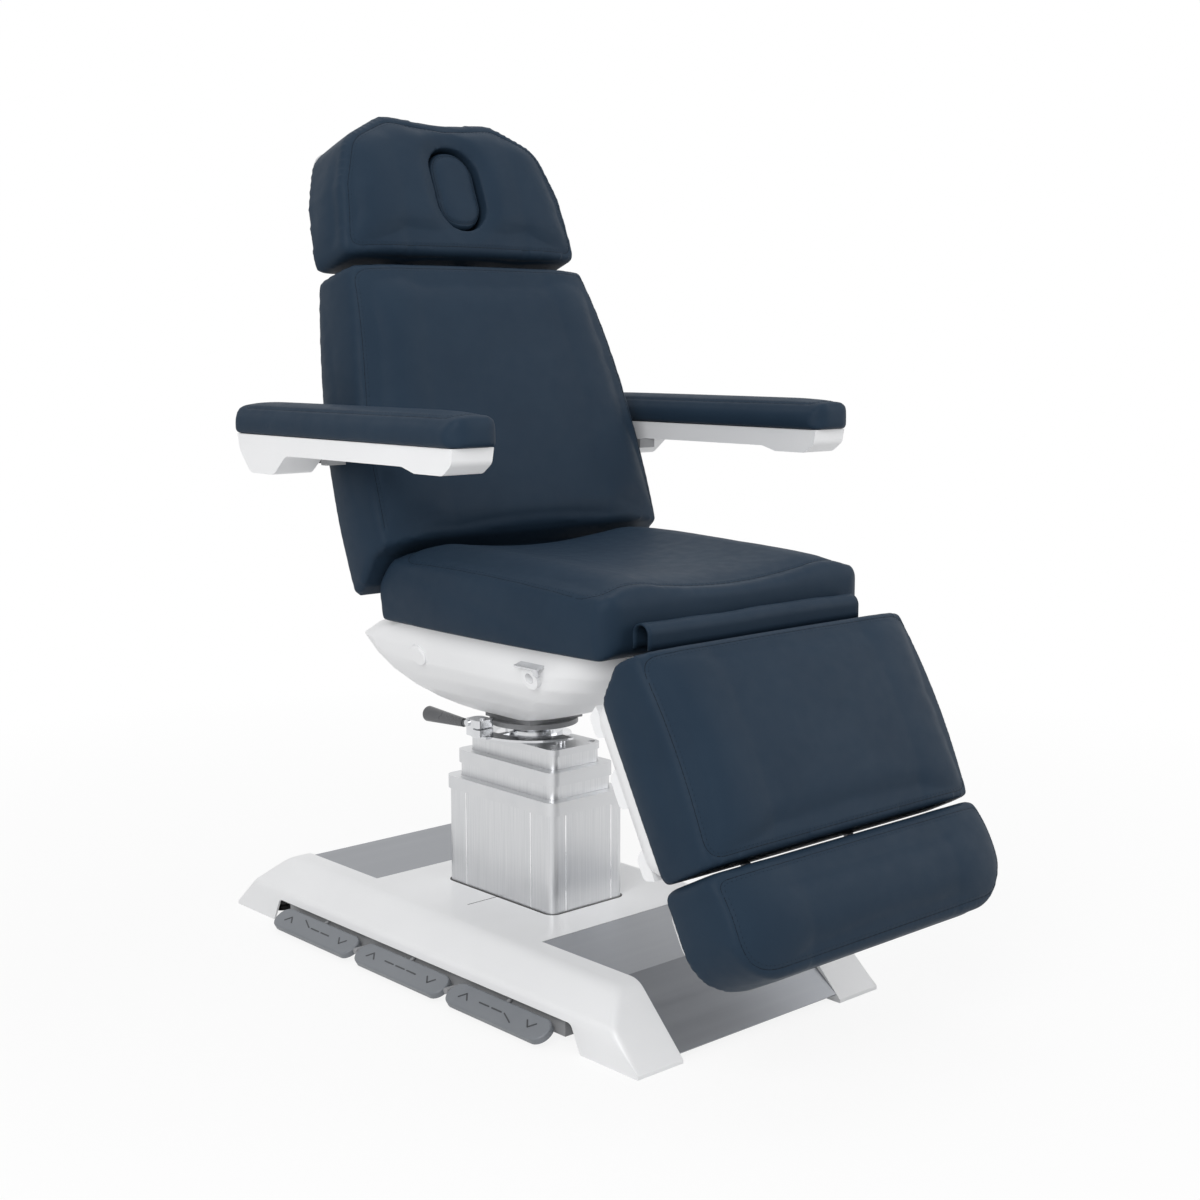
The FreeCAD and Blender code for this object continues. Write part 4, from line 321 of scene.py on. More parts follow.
class Finishes:
    """Every finish of the chair, made once."""

    def __init__(self) -> None:
        """Make the materials."""
        self.vinyl = Vinyl("slate_vinyl", (0.0140, 0.0275, 0.0470), (0.0165, 0.0315, 0.0525)).make()
        # The seam colour is painted shade: a much darker vinyl laid as a strip in each seam groove.
        self.seam_shade = Vinyl("seam_painted_shade", (0.0035, 0.0070, 0.0120), (0.0045, 0.0085, 0.0140), 2600.0).make()
        self.thread = Vinyl("seam_thread", (0.0085, 0.0175, 0.030), (0.0105, 0.0205, 0.035), 2600.0).make()
        self.white = Moulding("white_moulding", (0.80, 0.805, 0.815), (0.83, 0.835, 0.845), (0.30, 0.36)).make()
        self.pedal = Moulding("pedal_grey", (0.165, 0.178, 0.196), (0.195, 0.208, 0.226), (0.38, 0.5),
                              900.0, 0.12).make()
        self.mark = Moulding("mark_dark", (0.030, 0.033, 0.038), (0.042, 0.045, 0.05), (0.4, 0.5)).make()
        self.handle = Moulding("lever_grip", (0.075, 0.078, 0.084), (0.105, 0.108, 0.115), (0.26, 0.34),
                               700.0, 0.1).make()
        self.black = Moulding("black_case", (0.012, 0.012, 0.013), (0.02, 0.02, 0.022), (0.45, 0.55),
                              900.0, 0.12).make()
        self.glide = Moulding("glide_plastic", (0.7, 0.7, 0.68), (0.78, 0.78, 0.76), (0.4, 0.5)).make()
        self.column = Brushed("column_aluminium", (0.57, 0.58, 0.595), (0.70, 0.705, 0.715), Brush.UPRIGHT,
                              (0.30, 0.38), 700.0, 0.03).make()
        self.collar = Brushed("collar_aluminium", (0.60, 0.61, 0.625), (0.66, 0.665, 0.675), Brush.ACROSS,
                              (0.34, 0.42), 20.0, 0.02).make()
        self.plate = Brushed("floor_plate_steel", (0.26, 0.27, 0.29), (0.32, 0.33, 0.35), Brush.ACROSS,
                             (0.42, 0.52)).make()
        self.chrome = Bright("bright_plating").make()
        self.joint = Bright("bright_joint", (0.95, 0.95, 0.96)).make()
        self.steel = Paint("grey_coated_steel", (0.24, 0.245, 0.255), (0.30, 0.305, 0.315)).make()
        self.hub = Paint("hub_steel", (0.14, 0.145, 0.15), (0.2, 0.205, 0.21)).make()
        self.rubber = Paint("black_rubber", (0.015, 0.015, 0.016), (0.025, 0.025, 0.026)).make()
        self.board = Board().make()


def dress(material: bpy.types.Material, *nodes: str) -> None:
    """Give CAD nodes a finish.

    Args:
        material: the finish.
        nodes: the nodes' names.
    """
    for name in nodes:
        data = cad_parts[name].data
        data.materials.clear()
        data.materials.append(material)
        LOG.info("dressed %s", name)


def solid_copy(node: str) -> bmesh.types.BMesh:
    """Return a copy of a CAD node's mesh with its doubles merged.

    Args:
        node: the node's name.

    Returns:
        The copy.
    """
    shape = bmesh.new()
    shape.from_mesh(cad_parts[node].data)
    bmesh.ops.remove_doubles(shape, verts=shape.verts, dist=WELD)
    return shape


def new_piece(name: str, mesh: bmesh.types.BMesh, material: bpy.types.Material,
              smooth: bool = True) -> bpy.types.Object:
    """Turn a bmesh into a piece of the chair.

    Args:
        name: the piece's name.
        mesh: its shape, which is used up.
        material: its finish.
        smooth: whether its faces are shaded smooth.

    Returns:
        The new object.
    """
    data = bpy.data.meshes.new(name)
    for face in mesh.faces:
        face.smooth = smooth
    mesh.to_mesh(data)
    mesh.free()
    data.materials.append(material)
    made = bpy.data.objects.new(name, data)
    bpy.context.scene.collection.objects.link(made)
    LOG.info("made %s", name)
    return made


def rounded_loop(corners: Sequence[Corner], step: float = 0.004, closed: bool = True, arc: int = 12) -> List[Plan]:
    """Return points along a path with rounded corners.

    Args:
        corners: (a, b, radius) of each corner.
        step: distance between the points.
        closed: whether the path returns to its start.
        arc: steps round each corner.

    Returns:
        The points, evenly spaced.
    """
    rough: List[Vector] = []
    count = len(corners)
    for i, (a, b, radius) in enumerate(corners):
        here = Vector((a, b))
        if radius <= 0.0 or (not closed and i in (0, count - 1)):
            rough.append(here)
            continue
        before = Vector(corners[i - 1][:2]) - here
        after = Vector(corners[(i + 1) % count][:2]) - here
        turn = before.angle(after)
        reach = min(radius / math.tan(0.5 * turn), 0.48 * before.length, 0.48 * after.length)
        start, stop = here + before.normalized() * reach, here + after.normalized() * reach
        for k in range(arc + 1):
            t = k / arc
            rough.append((1 - t) ** 2 * start + 2 * t * (1 - t) * here + t ** 2 * stop)
    if closed:
        rough.append(rough[0])
    points: List[Plan] = []
    left = 0.0
    for p, q in zip(rough, rough[1:]):
        run = (q - p).length
        while left <= run and run > 1e-9:
            spot = p.lerp(q, left / run)
            points.append((spot.x, spot.y))
            left += step
        left -= run
    return points


@dataclass
class Section:
    """The flat frame of one padded section, laid into the stored pose."""

    origin: Vector
    along: Vector
    out: Vector

    def point(self, x: float, a: float, n: float) -> Vector:
        """Return a place from its flat coordinates.

        Args:
            x: across the chair.
            a: along the section.
            n: out of its padding.

        Returns:
            The point in the chair's frame.
        """
        return self.origin + Vector((x, 0.0, 0.0)) + a * self.along + n * self.out


def section(y: float, z: float, angle: float, flip: bool = False) -> Section:
    """Return a section's frame from its hinge and slope.

    Args:
        y: hinge place behind the column axis.
        z: hinge height.
        angle: turn about the chair's cross axis.
        flip: whether the section runs towards the toes.

    Returns:
        The frame.
    """
    sign = -1.0 if flip else 1.0
    along = Vector((0.0, sign * math.cos(angle), sign * math.sin(angle)))
    out = Vector((0.0, -math.sin(angle), math.cos(angle)))
    return Section(Vector((0.0, COLUMN_Y + y, z)), along, out)


@dataclass
class Cushion:
    """One padded piece: a swollen copy of its CAD solid with sewn seams.

    The lengths are in metres. The cover starts drawn in by shrink, swells by cap at most, sinks by give at most,
    is filled out by full and reaches past the solid's ends by ends at most.
    """

    node: str
    body: str
    place: Section
    seams: List[List[Plan]] = field(default_factory=list)
    voxel: float = 0.006
    shrink: float = 0.002
    cap: float = 0.010
    give: float = 0.001
    full: float = 0.005
    ends: float = 0.004
    pressure: float = 4.0
    even: int = 5
    calm: int = 14
    fill: float = 0.8
    hole: Optional[Tuple[float, float, float]] = None
    hole_rim: float = 0.003
    hole_ease: float = 0.025
    still: float = 0.0
    rest_band: float = 0.006
    frames: int = 20
    groove: float = 0.0014
    groove_width: float = 0.0026
    groove_reach: float = 0.007
    # How far the strip of painted seam shade sinks into the cover and stands proud of it.
    seam_shade_sunk: float = 0.0006
    seam_shade_proud: float = 0.0005
    seam_break: float = 0.02
    drop: float = 0.4
    stitch_inset: float = 0.0045
    pitch: float = 0.0062
    thread: float = 0.0009

    def build(self, finishes: Finishes) -> bpy.types.Object:
        """Swell, sew and dress the cushion.

        Args:
            finishes: the chair's finishes.

        Returns:
            The cushion.
        """
        name = self.node + "_pad"
        data = self.remeshed(name)
        cushion = bpy.data.objects.new(name, data)
        bpy.context.scene.collection.objects.link(cushion)
        self.swell(cushion)
        self.fill_out(cushion)
        self.divide(cushion)
        self.sew(cushion, finishes)
        cushion.data.materials.clear()
        cushion.data.materials.append(finishes.vinyl)
        cushion.data.polygons.foreach_set("use_smooth", [True] * len(cushion.data.polygons))
        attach(cushion, self.body)
        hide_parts(self.node)
        LOG.info("made %s with %d faces", name, len(cushion.data.polygons))
        return cushion

    def remeshed(self, name: str) -> bpy.types.Mesh:
        """Return an even mesh of the CAD solid, drawn in a little.

        Args:
            name: the mesh's name.

        Returns:
            The mesh.
        """
        shape = solid_copy(self.node)
        rough = bpy.data.meshes.new(name + "_rough")
        shape.to_mesh(rough)
        shape.free()
        carrier = bpy.data.objects.new(name + "_rough", rough)
        bpy.context.scene.collection.objects.link(carrier)
        remesh = carrier.modifiers.new("even", "REMESH")
        remesh.mode = "VOXEL"
        remesh.voxel_size = self.voxel
        even = carrier.modifiers.new("even_out", "SMOOTH")
        even.iterations = self.even
        onto = carrier.modifiers.new("onto_solid", "SHRINKWRAP")
        onto.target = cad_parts[self.node]
        onto.wrap_method = "NEAREST_SURFACEPOINT"
        made = self.evaluated(carrier, name)
        bpy.data.objects.remove(carrier)
        normals = [v.normal.copy() for v in made.vertices]
        for vertex, normal in zip(made.vertices, normals):
            vertex.co -= normal * self.shrink * self.bared(normal)
        return made

    def bared(self, normal: Vector) -> float:
        """Return how far a direction turns away from the frame behind the cushion.

        Args:
            normal: the cover's direction outwards.

        Returns:
            A share from 0, where the cover rests, to 1.
        """
        return min(1.0, max(0.0, (normal.dot(self.place.out) + 0.9) / 0.6))

    @staticmethod
    def evaluated(obj: bpy.types.Object, name: str) -> bpy.types.Mesh:
        """Return the mesh of an object with its modifiers applied."""
        graph = bpy.context.evaluated_depsgraph_get()
        made = bpy.data.meshes.new_from_object(obj.evaluated_get(graph))
        made.name = name
        return made

    def swell(self, cushion: bpy.types.Object) -> None:
        """Press the cover outwards as its filling does, pinned where it rests on its frame.

        Args:
            cushion: the cushion, whose mesh is changed.
        """
        start = [v.co.copy() for v in cushion.data.vertices]
        normals = [v.normal.copy() for v in cushion.data.vertices]
        lowest = min((p - self.place.origin).dot(self.place.out) for p in start)
        held = [i for i, p in enumerate(start)
                if (p - self.place.origin).dot(self.place.out) < lowest + self.rest_band
                or self.freedom(p, normals[i]) <= 0.0]
        group = cushion.vertex_groups.new(name="held")
        group.add(held, 1.0, "REPLACE")
        cloth = cushion.modifiers.new("swell", "CLOTH")
        cloth.settings.quality = 4
        cloth.settings.mass = 0.3
        cloth.settings.use_pressure = True
        cloth.settings.uniform_pressure_force = self.pressure
        cloth.settings.vertex_group_mass = "held"
        cloth.settings.effector_weights.gravity = 0.0
        cloth.collision_settings.use_collision = False
        cloth.point_cache.frame_start = 1
        cloth.point_cache.frame_end = self.frames
        scene = bpy.context.scene
        for number in range(1, self.frames + 1):
            scene.frame_set(number)
        swollen = self.evaluated(cushion, cushion.name + "_swollen")
        moves = [moved.co - origin for origin, moved in zip(start, swollen.vertices)]
        moves = self.calmed(cushion.data, [m * min(1.0, self.cap / max(m.length, 1e-9)) for m in moves])
        for vertex, origin, move, normal in zip(cushion.data.vertices, start, moves, normals):
            sunk = min(0.0, move.dot(normal) + self.give)
            vertex.co = origin + move - sunk * normal
        cushion.modifiers.remove(cloth)
        cushion.vertex_groups.remove(group)
        bpy.data.meshes.remove(swollen)
        scene.frame_set(1)

    def freedom(self, spot: Vector, normal: Vector) -> float:
        """Return how free the cover is at a place: none at the wall of its hole or where another section is near.

        Args:
            spot: a place on the cover.
            normal: the cover's direction outwards there.

        Returns:
            A share from 0 to 1.
        """
        if self.hole is None:
            turned = self.still * normal.dot(self.place.along)
            return min(1.0, max(0.0, (0.45 - turned) / 0.4))
        middle, half, reach = self.hole
        flat = spot - self.place.origin
        straight = max(0.0, abs(flat.dot(self.place.along) - middle) - (reach - half))
        gap = math.hypot(flat.x, straight) - half
        return min(1.0, max(0.0, (gap - self.hole_rim) / self.hole_ease))

    def fill_out(self, cushion: bpy.types.Object) -> None:
        """Fill the cover out all round, except where it rests or meets the next section.

        Args:
            cushion: the cushion, whose mesh is changed.
        """
        origin, along = self.place.origin, self.place.along
        reach = [(v.co - origin).dot(along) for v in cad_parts[self.node].data.vertices]
        low, high = min(reach) - self.ends, max(reach) + self.ends
        normals = [v.normal.copy() for v in cushion.data.vertices]
        for vertex, normal in zip(cushion.data.vertices, normals):
            vertex.co += normal * self.full * self.bared(normal) * self.freedom(vertex.co, normal)
            spot = (vertex.co - origin).dot(along)
            vertex.co += along * (min(max(spot, low), high) - spot)

    def calmed(self, cover: bpy.types.Mesh, moves: List[Vector]) -> List[Vector]:
        """Even out the swelling between neighbours, as a tight cover does.

        Args:
            cover: the cover's mesh.
            moves: how far each of its points has moved.

        Returns:
            The evened moves.
        """
        near: List[List[int]] = [[] for _ in moves]
        for a, b in (edge.vertices for edge in cover.edges):
            near[a].append(b)
            near[b].append(a)
        for _ in range(self.calm):
            moves = [(m + sum((moves[j] for j in row), Vector())) / (len(row) + 1) for m, row in zip(moves, near)]
        return moves

    def divide(self, cushion: bpy.types.Object) -> None:
        """Divide the cover once and keep the result as its mesh.

        Args:
            cushion: the cushion, whose mesh is replaced.
        """
        smooth = cushion.modifiers.new("smooth", "SMOOTH")
        smooth.iterations = 3
        finer = cushion.modifiers.new("finer", "SUBSURF")
        finer.levels = finer.render_levels = 1
        made = self.evaluated(cushion, cushion.name)
        old = cushion.data
        cushion.modifiers.clear()
        cushion.data = made
        bpy.data.meshes.remove(old)

    def sew(self, cushion: bpy.types.Object, finishes: Finishes) -> None:
        """Press the seam grooves into the cover, lay a dark strip of painted shade along each seam and the stitches
        beside them.

        Args:
            cushion: the cushion.
            finishes: the chair's finishes.
        """
        if not self.seams:
            return
        shape = bmesh.new()
        shape.from_mesh(cushion.data)
        tree = BVHTree.FromBMesh(shape)
        lines = [self.landed(tree, seam) for seam in self.seams]
        cells: Dict[Tuple[int, ...], List[Vector]] = {}
        for line in lines:
            for point, _ in line:
                cells.setdefault(self.cell(point), []).append(point)
        for vertex in shape.verts:
            key = self.cell(vertex.co)
            near = [p for i in (-1, 0, 1) for j in (-1, 0, 1) for k in (-1, 0, 1)
                    for p in cells.get((key[0] + i, key[1] + j, key[2] + k), ())]
            if near:
                gap = min((p - vertex.co).length for p in near)
                vertex.co -= vertex.normal * self.groove * math.exp(-(gap / self.groove_width) ** 2)
        shape.to_mesh(cushion.data)
        tree = BVHTree.FromBMesh(shape)
        shape.free()
        # The dark strip along each seam is painted shade; the stitches beside it are thread.
        seam_shade, stitches = bmesh.new(), bmesh.new()
        for seam in self.seams:
            self.crease(seam_shade, self.landed(tree, seam))
            self.stitch(stitches, self.landed(tree, self.moved_in(seam)))
        line = new_piece(self.node + "_fold", seam_shade, finishes.seam_shade)
        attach(line, self.body)
        made = new_piece(self.node + "_stitches", stitches, finishes.thread)
        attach(made, self.body)

    def cell(self, point: Vector) -> Tuple[int, ...]:
        """Return the cell of a coarse grid that a point lies in."""
        return tuple(int(math.floor(part / self.groove_reach)) for part in point)

    def moved_in(self, seam: List[Plan]) -> List[Plan]:
        """Return the line of stitches beside a seam, towards the middle of its panel.

        Args:
            seam: the seam's plan points.

        Returns:
            The stitches' plan points.
        """
        middle = Vector((sum(p[0] for p in seam) / len(seam), sum(p[1] for p in seam) / len(seam)))
        moved: List[Plan] = []
        for i, p in enumerate(seam):
            before, after = Vector(seam[i - 1]), Vector(seam[(i + 1) % len(seam)])
            if i in (0, len(seam) - 1):
                before, after = (Vector(p), after) if i == 0 else (before, Vector(p))
            way = (after - before).normalized()
            side = Vector((-way.y, way.x))
            if side.dot(middle - Vector(p)) < 0.0:
                side.negate()
            spot = Vector(p) + side * self.stitch_inset
            moved.append((spot.x, spot.y))
        return moved

    def landed(self, tree: BVHTree, seam: List[Plan]) -> List[Tuple[Vector, Vector]]:
        """Drop plan points onto the cover.

        Args:
            tree: the cover's faces.
            seam: plan points (across, along).

        Returns:
            Places on the cover with the cover's direction outwards there.
        """
        landed = []
        for x, a in seam:
            spot, normal, _, _ = tree.ray_cast(self.place.point(x, a, self.drop), -self.place.out)
            if spot is not None:
                landed.append((spot, normal))
        return landed

    def crease(self, shape: bmesh.types.BMesh, line: List[Tuple[Vector, Vector]]) -> None:
        """Lay a narrow dark strip of painted shade in the groove where two panels are sewn together.

        Args:
            shape: the bmesh that takes it.
            line: places on the cover and its directions outwards.
        """
        before: Optional[Tuple[bmesh.types.BMVert, ...]] = None
        for (here, normal), (ahead, _) in zip(line, line[1:]):
            way = ahead - here
            if way.length > self.seam_break or way.length < 1e-6:
                before = None
                continue
            side = normal.cross(way).normalized() * self.thread
            ring = tuple(shape.verts.new(here + part) for part in
                         (side - self.seam_shade_sunk * normal, self.seam_shade_proud * normal, -side - self.seam_shade_sunk * normal))
            if before:
                shape.faces.new((before[0], before[1], ring[1], ring[0]))
                shape.faces.new((before[1], before[2], ring[2], ring[1]))
            before = ring

    def stitch(self, shape: bmesh.types.BMesh, line: List[Tuple[Vector, Vector]]) -> None:
        """Lay a row of stitches.

        Args:
            shape: the bmesh that takes them.
            line: places on the cover and its directions outwards.
        """
        travelled = 0.0
        for (here, normal), (ahead, _) in zip(line, line[1:]):
            way = ahead - here
            if way.length > self.seam_break or way.length < 1e-6:
                continue
            travelled += way.length
            if travelled < self.pitch:
                continue
            travelled = 0.0
            way.normalize()
            side = normal.cross(way).normalized()
            up = way.cross(side)
            turn = Matrix((way, side, up)).transposed().to_4x4()
            size = Matrix.Diagonal((0.34 * self.pitch, 0.5 * self.thread, 0.45 * self.thread, 1.0))
            bmesh.ops.create_icosphere(shape, subdivisions=1, radius=1.0,
                                       matrix=Matrix.Translation(here) @ turn @ size)


@dataclass
class Upholstery:
    """All the cushions of the chair with their seam lines."""

    back_hinge: Plan = (0.105, 0.630)
    back_low: float = 0.118
    back_bend: float = 0.2646
    back_top: float = 0.588
    back_low_half: float = 0.324
    back_bend_half: float = 0.321
    back_top_half: float = 0.274
    back_bend_round: float = 0.3
    head_hinge: Plan = (0.598, 0.002)
    head_gap: float = 0.020
    head_length: float = 0.262
    head_low: float = 0.264
    head_top: float = 0.216
    face_middle: float = 0.132
    face_half: float = 0.054
    face_reach: float = 0.078
    seat_z: float = 0.627
    seat_half: float = 0.302
    seat_run: Plan = (-0.492, 0.010)
    leg_half: float = 0.310
    leg_run: Plan = (0.020, 0.342)
    foot_half: float = 0.312
    foot_run: Plan = (0.354, 0.514)
    arm_z: float = 0.942
    arm_x: float = 0.402
    arm_half: float = 0.032
    arm_run: Plan = (-0.336, 0.247)
    arm_corner: float = 0.022
    edge: float = 0.010
    inset: float = 0.012

    def back_half(self, u: float) -> float:
        """Return the back's half width at a height along it."""
        if u < self.back_bend:
            return self.back_low_half + (self.back_bend_half - self.back_low_half) * u / self.back_bend
        share = (u - self.back_bend) / (self.back_top - self.back_bend)
        return self.back_bend_half + (self.back_top_half - self.back_bend_half) * share

    def back_seam(self) -> List[Plan]:
        """Return the seam round the back's front panel, open at the seat."""
        top = self.back_top - self.edge
        right = [(self.back_half(u) - 0.004 - self.edge, u, turn)
                 for u, turn in ((self.back_low, 0.0), (self.back_bend, self.back_bend_round))]
        corner = (self.back_half(top) - 0.005 - self.edge, top, 0.03)
        left = [(-x, u, r) for x, u, r in reversed(right + [corner])]
        return rounded_loop(right + [corner] + left, closed=False)

    def head_seam(self) -> List[Plan]:
        """Return the seam round the head's front panel, with its two ears."""
        inset = self.inset
        low = 0.5 * self.head_gap + self.edge
        top = 0.5 * self.head_gap + self.head_length - inset - 0.004
        waist = 0.5 * (self.head_low + self.head_top) + 0.008
        right = [(self.head_low - inset, low, 0.02), (waist - inset, 0.5 * self.head_length, 0.06),
                 (self.head_top - inset, 0.82 * self.head_length, 0.06), (0.56 * self.head_top, top, 0.05)]
        left = [(-x, u, r) for x, u, r in reversed(right)]
        return rounded_loop(right + [(0.0, top - 0.014, 0.08)] + left)

    def panel(self, half: float, run: Plan, radius: float) -> List[Plan]:
        """Return a seam round a plain rectangular panel.

        Args:
            half: half width of the cushion.
            run: where the cushion starts and ends.
            radius: corner radius of the seam.

        Returns:
            The seam's plan points.
        """
        x = half - self.inset
        a, b = run[0] + self.edge, run[1] - self.edge
        return rounded_loop([(-x, a, radius), (x, a, radius), (x, b, radius), (-x, b, radius)])

    def foot_seam(self) -> List[Plan]:
        """Return the seam round the foot's panel with its large toe corners."""
        x = self.foot_half - self.inset
        a, b = self.foot_run[0] + self.edge, self.foot_run[1] - self.inset
        return rounded_loop([(-x, a, 0.018), (x, a, 0.018), (x, b, 0.085), (-x, b, 0.085)])

    def oval(self, grow: float) -> List[Plan]:
        """Return the oval of the face opening, grown outwards."""
        x = self.face_half + grow
        a0, a1 = (self.face_middle + side * (self.face_reach + grow) for side in (-1.0, 1.0))
        turn = 0.95 * x
        return rounded_loop([(-x, a0, turn), (x, a0, turn), (x, a1, turn), (-x, a1, turn)], 0.003)

    def build(self, finishes: Finishes) -> None:
        """Make every cushion.

        Args:
            finishes: the chair's finishes.
        """
        back = section(*self.back_hinge, BACK_ANGLE)
        hinge = back.point(0.0, *self.head_hinge)
        head = section(hinge.y - COLUMN_Y, hinge.z, HEAD_ANGLE)
        leg = section(LEG_HINGE_Y, LEG_HINGE_Z, LEG_ANGLE, True)
        seat, arm = section(0.0, self.seat_z, 0.0), section(0.0, self.arm_z, 0.0)
        cushions = [
            Cushion("back_cushion", "back", back, [self.back_seam()], still=-1.0),
            Cushion("head_cushion", "head", head, [self.head_seam()], voxel=0.0055, cap=0.009,
                    hole=(self.face_middle, self.face_half, self.face_reach)),
            Cushion("face_plug", "plug", head, [self.oval(-0.012)], voxel=0.004, shrink=0.003, cap=0.003, full=0.0,
                    ends=0.0, even=4, stitch_inset=0.004),
            Cushion("seat_cushion", "seat", seat, [self.panel(self.seat_half, self.seat_run, 0.04)], still=1.0),
            Cushion("leg_cushion", "leg", leg, [self.panel(self.leg_half, self.leg_run, 0.030)], cap=0.007,
                    full=0.003, ends=0.001),
            Cushion("foot_cushion", "foot", leg, [self.foot_seam()], cap=0.007),
        ]
        for side, body in ((1.0, "arm_left"), (-1.0, "arm_right")):
            x0, x1 = side * self.arm_x - self.arm_half, side * self.arm_x + self.arm_half
            front, rear = self.arm_run
            loop = rounded_loop([(x, y, self.arm_corner)
                                 for x, y in ((x0, front), (x1, front), (x1, rear), (x0, rear))])
            cushions.append(Cushion("arm_pad_" + body[4:], body, arm, [loop], voxel=0.0045, shrink=0.0015, cap=0.005,
                                    stitch_inset=0.004))
        for cushion in cushions:
            cushion.build(finishes)


@dataclass
class GapFlap:
    """Folded vinyl flap arched over the leg hinge, between the seat and the leg cushion."""

    y: float = COLUMN_Y + LEG_HINGE_Y
    z: float = LEG_HINGE_Z
    half: float = 0.240
    radius: float = 0.0163
    rise: float = 0.018
    tail: float = 0.003
    thickness: float = 0.003
    turns: int = 18
    steps: int = 58
    ripple: float = 0.0008

    def build(self, finishes: Finishes) -> bpy.types.Object:
        """Fold the flap over its hinge.

        Args:
            finishes: the chair's finishes.

        Returns:
            The flap.
        """
        shape = bmesh.new()
        angles = [math.pi * k / self.turns for k in range(self.turns + 1)]
        rim = [(1.0, -self.tail), (1.0, 0.4 * self.rise)]
        rim += [(math.cos(angle), self.rise + self.radius * math.sin(angle)) for angle in angles]
        rim += [(-1.0, 0.4 * self.rise), (-1.0, -self.tail)]
        verts = [shape.verts.new((-self.half, self.y + self.radius * share, self.z + height)) for share, height in rim]
        edges = [shape.edges.new(pair) for pair in zip(verts, verts[1:])]
        for _ in range(self.steps):
            made = bmesh.ops.extrude_edge_only(shape, edges=edges)["geom"]
            moved = [g for g in made if isinstance(g, bmesh.types.BMVert)]
            edges = [g for g in made if isinstance(g, bmesh.types.BMEdge)]
            bmesh.ops.translate(shape, verts=moved, vec=(2.0 * self.half / self.steps, 0.0, 0.0))
        for vertex in shape.verts:
            wave = math.sin(21.0 * vertex.co.x) + 0.6 * math.sin(47.0 * vertex.co.x + 1.0)
            lift = max(0.0, vertex.co.z - self.z) / (self.rise + self.radius)
            vertex.co.z += self.ripple * lift * wave
        bmesh.ops.recalc_face_normals(shape, faces=shape.faces)
        flap = new_piece("gap_flap_folded", shape, finishes.vinyl)
        wall = flap.modifiers.new("thickness", "SOLIDIFY")
        wall.thickness = self.thickness
        wall.offset = 0.0
        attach(flap, "seat")
        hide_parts("gap_flap")
        return flap


@dataclass
class Pedals:
    """Marks on the three leaning rocker pedals: chevrons at both ends and a row of dashes."""

    edge_x: float = -0.285
    edge_z: float = 0.040
    width: float = 0.046
    pitch: float = 0.264
    line: float = 0.0025
    relief: float = 0.0006
    chevron: float = 0.011
    chevron_at: float = 0.083
    dash_pitch: float = 0.032
    dash_half: float = 0.012

    def build(self, finishes: Finishes) -> None:
        """Mark every pedal.

        Args:
            finishes: the chair's finishes.
        """
        dress(finishes.pedal, "pedal_back", "pedal_lift", "pedal_leg")
        lean = Matrix.Translation((self.edge_x, COLUMN_Y, self.edge_z)) @ Matrix.Rotation(-PEDAL_LEAN, 4, "Y")
        for index, (body, bend) in enumerate((("back_pedal", Rocker.REAR), ("lift_pedal", Rocker.NONE),
                                              ("leg_pedal", Rocker.FRONT))):
            shape = bmesh.new()
            self.draw(shape, (1 - index) * self.pitch, bend)
            bmesh.ops.transform(shape, matrix=lean, verts=shape.verts)
            mark = new_piece(body + "_mark", shape, finishes.mark, smooth=False)
            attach(mark, body)

    def draw(self, shape: bmesh.types.BMesh, middle: float, bend: Rocker) -> None:
        """Draw one pedal's marks in its flat frame.

        Args:
            shape: the bmesh that takes them.
            middle: the pedal's middle along the rail.
            bend: where its bent dash lies.
        """
        across = -0.5 * self.width
        for side in (1.0, -1.0):
            at = middle + side * self.chevron_at
            tip = across + side * 0.5 * self.chevron
            foot = across - side * 0.5 * self.chevron
            self.bar(shape, (foot, at - self.chevron), (tip, at))
            self.bar(shape, (foot, at + self.chevron), (tip, at))
        for k in (1, 0, -1):
            start, stop = across, across
            if bend is Rocker.REAR and k == 1:
                start += self.chevron
            if bend is Rocker.FRONT and k == -1:
                stop -= self.chevron
            at = middle + k * self.dash_pitch
            self.bar(shape, (start, at + self.dash_half), (stop, at - self.dash_half))

    def bar(self, shape: bmesh.types.BMesh, start: Plan, stop: Plan) -> None:
        """Lay one rounded stroke on the pedal's face.

        Args:
            shape: the bmesh that takes it.
            start: one end (across, along).
            stop: the other end.
        """
        a, b = Vector((*start, 0.0)), Vector((*stop, 0.0))
        way = b - a
        turn = Matrix.Rotation(math.atan2(way.y, way.x), 4, "Z")
        size = Matrix.Diagonal((way.length + self.line, self.line, 2.0 * self.relief, 1.0))
        made = bmesh.ops.create_cube(shape, size=1.0, matrix=Matrix.Translation((a + b) / 2) @ turn @ size)
        edges = [e for e in {e for v in made["verts"] for e in v.link_edges}
                 if abs(e.verts[0].co.z - e.verts[1].co.z) > self.relief]
        bmesh.ops.bevel(shape, geom=edges, offset=0.45 * self.line, offset_type="OFFSET", segments=3, profile=0.5,
                        affect="EDGES", material=-1)


